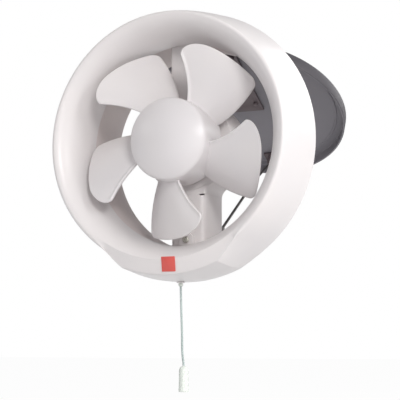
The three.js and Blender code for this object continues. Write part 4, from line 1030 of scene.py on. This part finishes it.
def makeMotorBridge():
    size = postSizes
    front, rear, can, lug = size["front"], size["rear"], size["canRadius"], size["lugHeight"]
    bridge = roundedBody("motorBridgeShell", front, size["bridgeCorner"], rear, size["low"], size["high"])
    above = block("above", (-80, front - 10, size["coverTop"] + 0.3), (80, rear + 10, 130))
    outline = roundedOutline([(0, front), (can, front, size["canEdge"]), (can, rear), (0, rear)])
    carve(bridge, [turned("can", outline, 160)], "UNION")
    carve(bridge, [ductPlug(front - 5, rear + 5)], "INTERSECT")
    carve(bridge, [above], "INTERSECT")
    inner, bore = size["half"] - size["wall"], can - size["canWall"]
    channel = block("channel", (-inner, front + size["wall"], 30), (inner, rear + 5, 100.3))
    carve(bridge, [channel, turned("bay", [(0, -20), (bore, -20), (bore, 50), (0, 50)], 120)])
    half, hollowHalf, spineFront = size["spineHalf"], size["spineHollow"], size["spineFront"]
    spine = block("spine", (-half, spineFront, -104.5), (half, rear, -45.9))
    hollow = block("hollow", (-hollowHalf, spineFront + size["wall"], -100.3), (hollowHalf, rear + 5, -40))
    carve(spine, [ductPlug(0, 60)], "INTERSECT")
    carve(spine, [hollow])
    pillar = rod("pillar", (0, 0.3, lug), (0, spineFront + 1, lug), size["boss"])
    carve(bridge, [spine, pillar], "UNION")
    bosses = [rod("boss", (0, start, z), (0, rear, z), size["rearBoss"])
              for start, z in zip((0, 23.7), size["rearScrews"])]
    carve(bridge, bosses, "UNION")
    holes = [postHole(28, 45, z) for z in size["rearScrews"]]
    return carve(bridge, holes + [postHole(-1, 21, lug)])


dress(makeMotorBridge(), whitePlastic, "white_plastic", "frame", "motor_bridge")


# A channel that opens to the rear, with its front corners rounded.
def channelShape(name, half, front, corner, rear, low, high):
    outline = roundedOutline([(-half, rear), (-half, front, corner), (half, front, corner), (half, rear)], 8)
    return skin(name, [[(x, y, z) for x, y in outline] for z in (low, high)])


def makePostCover():
    size = postSizes
    half, front, corner, wall = size["half"], size["front"], size["corner"], size["coverWall"]
    top, rear, radius, height = size["coverTop"], size["rear"], size["lugRadius"], size["lugHeight"]
    cover = channelShape("postCoverShell", half, front, corner, rear - 0.3, -110, top + size["coverLift"])
    carve(cover, [ductPlug(-20, 60)], "INTERSECT")
    inside = channelShape("inside", half - wall, front + wall, corner - wall, rear + 5, -115, top + 5)
    left, right = size["slitX"]
    low, high = (left, front - 1, top - size["slitDrop"]), (right, front + size["slitDepth"], top + 1)
    slit = block("slit", low, high)
    carve(cover, [inside, slit])
    lugFront = front - size["lugProud"]
    arch = [(-x, height + z) for x, z in (polar(radius, 9 * k) for k in range(21))]
    lug = plate("lug", [(-radius, -110)] + arch + [(radius, -110)], lugFront, front + 1, "y")
    bevel(lug, 0.8, 3)
    carve(lug, [ductPlug(-20, 60)], "INTERSECT")
    carve(cover, [lug], "UNION")
    return carve(cover, [screwHole((0, lugFront - 2, height), (0, 3, height))])


dress(makePostCover(), whitePlastic, "white_plastic", "frame", "post_cover")


def makeRearCover():
    size = postSizes
    front, back, ventHalf = size["coverRear"], size["coverBack"], size["ventHalf"]
    steps = ((front, 0), (back - 0.6, 0), (back - 0.2, 0.25), (back, 0.7))
    layers = [(y, postOutline(inset, -size["high"], size["high"])) for y, inset in steps]
    cover = loft("rearCoverPlate", layers)
    carve(cover, [ductPlug(30, 60)], "INTERSECT")
    seat = roundedOutline([(10, 29.5, 0.3), (12.2, 29.5, 0.3), (12.2, front + 1), (5.5, front + 1),
                           (5.5, 35.6), (10, 35.6)])
    carve(cover, [turned("seat", seat, 64)], "UNION")
    outline = rectangle(-ventHalf, size["ventFrom"], ventHalf, size["ventTo"], 1.2)
    slot = plate("ventTemplate", outline, back - size["ventDepth"], back + 3, "y")
    carve(cover, [circle("coverVents", slot, size["vents"], whitePlastic)])
    return carve(cover, [postHole(30, 50, z) for z in size["rearScrews"]])


dress(makeRearCover(), whitePlastic, "white_plastic", "frame", "bridge_rear_cover")

noseSizes = {
    "nose": 37, "noseFront": -20, "face": -2, "rim": 45.7, "spigotBore": 43.5, "back": 0.7, "spigotEnd": 4.7,
    "inside": 34.8, "insideFront": -17.8, "seat": 12.2, "seatBore": 10, "seatBack": -12, "bore": 5,
}


def makeMotorFrontCover():
    size = noseSizes
    low = size["insideFront"]
    outline = roundedOutline([
        (size["bore"], size["noseFront"], 0.4), (size["nose"], size["noseFront"], 2.5),
        (size["nose"], size["face"], 1.0), (size["rim"], size["face"], 0.5), (size["rim"], size["spigotEnd"]),
        (size["spigotBore"], size["spigotEnd"]), (size["spigotBore"], size["back"]),
        (size["inside"], size["back"]), (size["inside"], low), (size["seat"], low),
        (size["seat"], size["seatBack"]), (size["seatBore"], size["seatBack"]), (size["seatBore"], low),
        (size["bore"], low)])
    return turned("motorNoseCover", outline, 144)


dress(makeMotorFrontCover(), whitePlastic, "white_plastic", "frame", "motor_front_cover")
print("stage: motor bridge")


# Shutter

lidSizes = {
    "radius": 112, "wall": 2, "plane": 50.4, "depth": 14.2, "floor": 2.2, "edge": 2.5, "hingeY": 54.5,
    "hingeZ": 116, "openAngle": 62, "notchHalf": 19.6, "notchDepth": 6.3, "step": 0.6, "stepRadius": 96,
    "groove": (99, 102), "grooveDepth": 0.8,
    "rivetPlaces": ((-13, 8.5), (13, 8.5), (-13, 88), (13, 88)), "rivetHole": 2.0,
}
hinge = Vector((0, lidSizes["hingeY"], lidSizes["hingeZ"])) * mm
opening = Matrix.Rotation(math.radians(lidSizes["openAngle"]), 4, "X")
openTurn = Matrix.Translation(hinge) @ opening @ Matrix.Translation(-hinge)


def makeLid():
    size = lidSizes
    radius, plane, half = size["radius"], size["plane"], size["notchHalf"]
    back = plane + size["depth"]
    inner, bore, stepped = back - size["floor"], radius - size["wall"], back - size["step"]
    grooveStart, grooveEnd = size["groove"]
    low = inner - size["grooveDepth"]
    outline = roundedOutline([
        (0, inner), (grooveStart, inner), (grooveStart + 0.6, low, 0.3), (grooveEnd - 0.6, low, 0.3),
        (grooveEnd, inner), (bore, inner, 1.2), (bore, plane, 0.6), (radius, plane, 0.9),
        (radius, back, size["edge"]), (size["stepRadius"], back, 0.6),
        (size["stepRadius"] - 0.8, stepped, 0.4), (0, stepped)])
    lid = turned("shutterLidPan", outline, 224)
    tools = [block("notch", (-half, plane - 1, bore - 8), (half, plane + size["notchDepth"], radius + 1))]
    tools += [rod("hole", (x, inner - 2, z), (x, back + 2, z), size["rivetHole"], steps=20)
              for x, z in size["rivetPlaces"]]
    carve(lid, tools)
    lid.data.transform(openTurn)
    return lid


# Painted shade: darkens the colour of the lid's outer wall, which stands in shade. A point is put back in
# the closed lid, and its distance from the fan axis is read there.
def paintRimShade(material, dark):
    tree = material.node_tree
    shader = tree.nodes["Principled BSDF"]
    closed = addNode(tree, "ShaderNodeMapping", {
        "Vector": tree.nodes["Texture Coordinate"].outputs["Object"], "Location": openTurn.to_translation(),
        "Rotation": (math.radians(lidSizes["openAngle"]), 0, 0)}, vector_type="TEXTURE").outputs[0]
    flat = addNode(tree, "ShaderNodeVectorMath", {0: closed, 1: (1, 0, 1)}, operation="MULTIPLY").outputs[0]
    reach = addNode(tree, "ShaderNodeVectorMath", {0: flat}, operation="LENGTH").outputs["Value"]
    edge = lidSizes["radius"] * mm
    share = rampNode(tree, reach, edge - 0.0012, edge - 0.0002)
    tone = shader.inputs["Base Color"].links[0].from_socket
    fillInputs(tree, shader, {"Base Color": mixColour(tree, share, tone, dark)})


# Painted shade colour for the lid's outer wall.
paintRimShade(shutterGrey, srgb(76, 73, 78))
dress(makeLid(), shutterGrey, "shutter_grey", "shutter", "shutter_lid")
print("stage: shutter lid")


# Screws and rivets

fastenerSizes = {"gap": 0.3, "shank": 1.7, "height": 2.0, "sides": 20}
screwSizes = {
    "head": 3.4, "top": 3.4, "shoulder": 0.7, "flat": 2.3, "slot": 0.55, "slotReach": 2.1, "slotDepth": 1.1,
    "flangeLength": 12, "clampLength": 2.8, "bridgeLength": 8.2, "coverLength": 12.2, "postLength": 15,
}
rivetSizes = {"head": 3.1, "top": 2.6, "shoulder": 0.4, "flat": 1.4, "lift": 2.3, "length": 3.9}


# Geometry Nodes: one head and one shank at each point. A point carries the turn that lays +Z along
# the shank and the shank's length.
def makeFastenerTree():
    tree, entry, leave = groupShell(
        "headsAndShanks", "GeometryNodeTree",
        [("Places", "NodeSocketGeometry"), ("Head", "NodeSocketObject"), ("Shank Radius", "NodeSocketFloat"),
         ("Finish", "NodeSocketMaterial")],
        [("Geometry", "NodeSocketGeometry")])

    def stored(label, kind):
        node = addNode(tree, "GeometryNodeInputNamedAttribute", {"Name": label}, data_type=kind)
        return node.outputs["Attribute"]

    head = addNode(tree, "GeometryNodeObjectInfo", {"Object": entry["Head"]}).outputs["Geometry"]
    cylinder = addNode(tree, "GeometryNodeMeshCylinder", {
        "Vertices": fastenerSizes["sides"], "Side Segments": 1, "Depth": 1, "Radius": entry["Shank Radius"]})
    shank = addNode(tree, "GeometryNodeTransform", {
        "Geometry": cylinder.outputs["Mesh"], "Translation": (0, 0, 0.5)}).outputs["Geometry"]
    stretch = addNode(tree, "ShaderNodeCombineXYZ", {0: 1, 1: 1, 2: stored("reach", "FLOAT")}).outputs[0]
    both = tree.nodes.new("GeometryNodeJoinGeometry")
    lay = stored("lay", "FLOAT_VECTOR")
    for shape, scale in ((head, (1, 1, 1)), (shank, stretch)):
        copies = addNode(tree, "GeometryNodeInstanceOnPoints", {
            "Points": entry["Places"], "Instance": shape, "Rotation": lay, "Scale": scale})
        tree.links.new(copies.outputs["Instances"], both.inputs["Geometry"])
    return closeTree(tree, entry, leave, both.outputs["Geometry"])


# A turned head that faces -Z from the origin. flat is the radius of its top's flat part.
def makeHead(name, size, edges, sides):
    low = -fastenerSizes["gap"]
    top = low - fastenerSizes["height"]
    foot, shoulder, crown = edges
    outline = [(0, low), (size["head"], low, foot), (size["top"], top + size["shoulder"], shoulder),
               (size["flat"], top, crown), (0, top)]
    return turnedUpright(name, roundedOutline(outline, 5), 0, 0, sides)


# A pan head with a cross recess.
def makeScrewHead():
    top = -fastenerSizes["gap"] - fastenerSizes["height"]
    reach, slot, depth = screwSizes["slotReach"], screwSizes["slot"], screwSizes["slotDepth"]
    slots = [block("slot", (-long, -wide, top - 1), (long, wide, top + depth))
             for long, wide in ((reach, slot), (slot, reach))]
    return carve(makeHead("screwHead", screwSizes, (0.3, 0.5, 1.0), 40), slots)


# places is a list of (seat in mm, direction of the shank, length in mm).
def makeFasteners(name, head, places, finish):
    mesh = bpy.data.meshes.new(name)
    mesh.from_pydata([Vector(seat) * mm for seat, _, _ in places], [], [])
    mesh.attributes.new("lay", "FLOAT_VECTOR", "POINT")
    mesh.attributes.new("reach", "FLOAT", "POINT")
    for i, (_, direction, length) in enumerate(places):
        mesh.attributes["lay"].data[i].vector = Vector(direction).to_track_quat("Z", "Y").to_euler()
        mesh.attributes["reach"].data[i].value = length * mm
    values = {"Head": head, "Shank Radius": fastenerSizes["shank"] * mm, "Finish": finish}
    piece = runTree(name, fastenerTree, mesh, values)
    dropObject(head)
    return piece


def frameScrewPlaces():
    size = screwSizes
    places = []
    for angle in screwAngles:
        x, z = polar(ductSizes["screwCircle"], angle)
        places.append(((x, ductSizes["flangeRear"], z), (0, -1, 0), size["flangeLength"]))
        x, z = polar(clampSizes["bore"] + clampSizes["collarWall"], angle)
        places.append(((x, clampSizes["screwY"], z), (-x, 0, -z), size["clampLength"]))
    for end, rearScrew in zip((1, -1), postSizes["rearScrews"]):
        seat = (0, ductSizes["screwY"], end * ductSizes["screwSeat"])
        places.append((seat, (0, 0, -end), size["bridgeLength"]))
        places.append(((0, postSizes["coverBack"], rearScrew), (0, -1, 0), size["coverLength"]))
    lug = (0, postSizes["front"] - postSizes["lugProud"], postSizes["lugHeight"])
    return places + [(lug, (0, 1, 0), size["postLength"])]


fastenerTree = makeFastenerTree()
screwNodes = [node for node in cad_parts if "screw" in node]
frameScrews = makeFasteners("frameScrewSet", makeScrewHead(), frameScrewPlaces(), zincPlate)
dress(frameScrews, zincPlate, "zinc_screw", "frame", *screwNodes)

rivetNodes = [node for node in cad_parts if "lid_rivet" in node]
rivetY = lidSizes["plane"] + lidSizes["depth"] - lidSizes["floor"] - rivetSizes["lift"]
rivetSeats = [((x, rivetY, z), (0, 1, 0), rivetSizes["length"]) for x, z in lidSizes["rivetPlaces"]]
rivetHead = makeHead("rivetHead", rivetSizes, (0.2, 0.6, 0.8), 32)
lidRivets = makeFasteners("lidRivetSet", rivetHead, rivetSeats, darkPaint)
lidRivets.data.transform(openTurn)
dress(lidRivets, darkPaint, "steel", "shutter", *rivetNodes)
print("stage:", len(screwNodes), "screws and", len(rivetNodes), "rivets")


# Sheet and rod pieces with softened edges

# Each is (name, body, finish, slot, edge width in mm), keyed by the node that it stands for.
softened = {
    "hinge_plate": ("hingePlateSheet", "shutter", darkPaint, "dark_metal", 0.5),
    "lid_clevis": ("lidClevisSheet", "shutter", darkPaint, "dark_metal", 0.4),
    "hinge_bracket": ("hingeBracketSheet", "frame", darkPaint, "dark_metal", 0.4),
    "crank_bracket": ("crankBracketSheet", "frame", darkPaint, "dark_metal", 0.4),
    "crank_arm": ("crankArmRod", "crank", rodSteel, "steel", 0.25),
    "stay_link": ("stayLinkRod", "link", rodSteel, "steel", 0.25),
    "terminal_block": ("terminalBlockBody", "frame", darkPlastic, "dark_plastic", 0.5),
    "capacitor": ("capacitorCase", "frame", darkPlastic, "dark_plastic", 1.2),
    "shutter_actuator": ("actuatorCase", "frame", darkPlastic, "dark_plastic", 0.8),
    "switch_body": ("switchCase", "frame", darkPlastic, "dark_plastic", 0.5),
    "supply_gland": ("supplyGlandBush", "frame", darkPlastic, "dark_plastic", 0.35),
    "cord_grommet": ("cordGrommetBush", "frame", whitePlastic, "white_plastic", 0.25),
}


def soften(node, name, width):
    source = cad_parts[node]
    mesh = source.data.copy()
    mesh.transform(source.matrix_world)
    work = bmesh.new()
    work.from_mesh(mesh)
    bmesh.ops.remove_doubles(work, verts=work.verts, dist=5e-6)
    bmesh.ops.dissolve_limit(work, angle_limit=math.radians(1.5), verts=work.verts, edges=work.edges)
    work.to_mesh(mesh)
    work.free()
    mesh.materials.clear()
    return bevel(addObject(name, mesh), width, angle=35)


for node, (name, body, finish, slot, width) in softened.items():
    dress(soften(node, name, width), finish, slot, body, node)
print("stage: softened sheet and rod pieces")


# Carried-over nodes

nodeFinishes = {
    "stator_core": plainSteel, "stator_winding_front": copperWire, "stator_winding_rear": copperWire,
    "front_bearing": plainSteel, "rear_bearing": plainSteel, "motor_shaft": plainSteel, "rotor": plainSteel,
    "hinge_pin": plainSteel, "crank_pin": plainSteel, "lid_pin": plainSteel, "elbow_rivet": plainSteel,
    "switch_spring": plainSteel, "switch_plunger": knobPlastic,
}
for node, finish in nodeFinishes.items():
    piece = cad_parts[node]
    for place in piece.material_slots:
        place.material = finish
print("stage: carried-over nodes")


# Floor, background and light

roomSizes = {
    "floor": -330, "span": 9000, "floorTone": srgb(226, 226, 227), "floorShare": 0.97,
    "ambient": (0.985, 0.985, 1.0, 1), "ambientStrength": 0.36, "white": (1, 1, 1, 1),
}


# Mixes two shaders into an output, by how far a ray of either kind sees the second one.
def mixByRay(tree, first, second, output, rays, share):
    path = tree.nodes.new("ShaderNodeLightPath")
    seen = mathNode(tree, "MAXIMUM", *[path.outputs[ray] for ray in rays])
    seen = mathNode(tree, "MULTIPLY", seen, share)
    mix = addNode(tree, "ShaderNodeMixShader", {0: seen, 1: first, 2: second})
    fillInputs(tree, tree.nodes[output], {"Surface": mix.outputs[0]})


def makeStage():
    half, low = roomSizes["span"], roomSizes["floor"]
    corners = [(-half, -half, low), (half, -half, low), (half, half, low), (-half, half, low)]
    floor = meshPiece("paleFloor", corners, [(0, 1, 2, 3)])
    material, tree, shader, _ = blankMaterial("paleFloorPaint")
    fillInputs(tree, shader, {"Base Color": roomSizes["floorTone"], "Roughness": 0.9})
    glow = addNode(tree, "ShaderNodeEmission", {"Color": roomSizes["white"]})
    rays = ("Is Camera Ray", "Is Glossy Ray")
    mixByRay(tree, shader.outputs[0], glow.outputs[0], "Material Output", rays, roomSizes["floorShare"])
    floor.data.materials.append(material)


def makeWorld():
    world = bpy.data.worlds.new("studioRoom")
    bpy.context.scene.world = world
    world.use_nodes = True
    tree = world.node_tree
    ground = tree.nodes["Background"]
    fillInputs(tree, ground, {"Color": roomSizes["ambient"], "Strength": roomSizes["ambientStrength"]})
    bright = addNode(tree, "ShaderNodeBackground", {"Color": roomSizes["white"]})
    rays = ("Is Camera Ray", "Is Transmission Ray")
    mixByRay(tree, ground.outputs[0], bright.outputs[0], "World Output", rays, 1)


# Each lamp is (place in metres, width in metres, power in watts, colour). All aim at the fan.
lamps = {
    "keyRight": ((1.6, -1.9, 0.8), 0.8, 26, (1, 0.99, 0.985)),
    "sideRight": ((2.3, -0.2, 0.8), 1.0, 24, (1, 0.995, 0.99)),
    "softLeft": ((-1.9, -1.2, 0.9), 0.8, 3.6, (0.97, 0.985, 1)),
    "cameraFill": ((0.8, -1.8, -0.4), 0.9, 7.2, (1, 0.985, 0.975)),
    "rearSoft": ((0.8, 1.8, 1.0), 1.2, 12, (1, 1, 1)),
}


def makeLamps():
    for name, (place, width, power, colour) in lamps.items():
        data = bpy.data.lights.new(name, "AREA")
        data.shape = "DISK"
        data.size = width
        data.energy = power
        data.color = colour
        lamp = bpy.data.objects.new(name, data)
        bpy.context.scene.collection.objects.link(lamp)
        aim = Vector((0, 0.05, 0)) - Vector(place)
        lamp.matrix_world = Matrix.Translation(place) @ aim.to_track_quat("-Z", "Y").to_matrix().to_4x4()


makeStage()
makeWorld()
makeLamps()
bpy.context.scene.view_settings.view_transform = "Standard"
print("stage: floor and light")
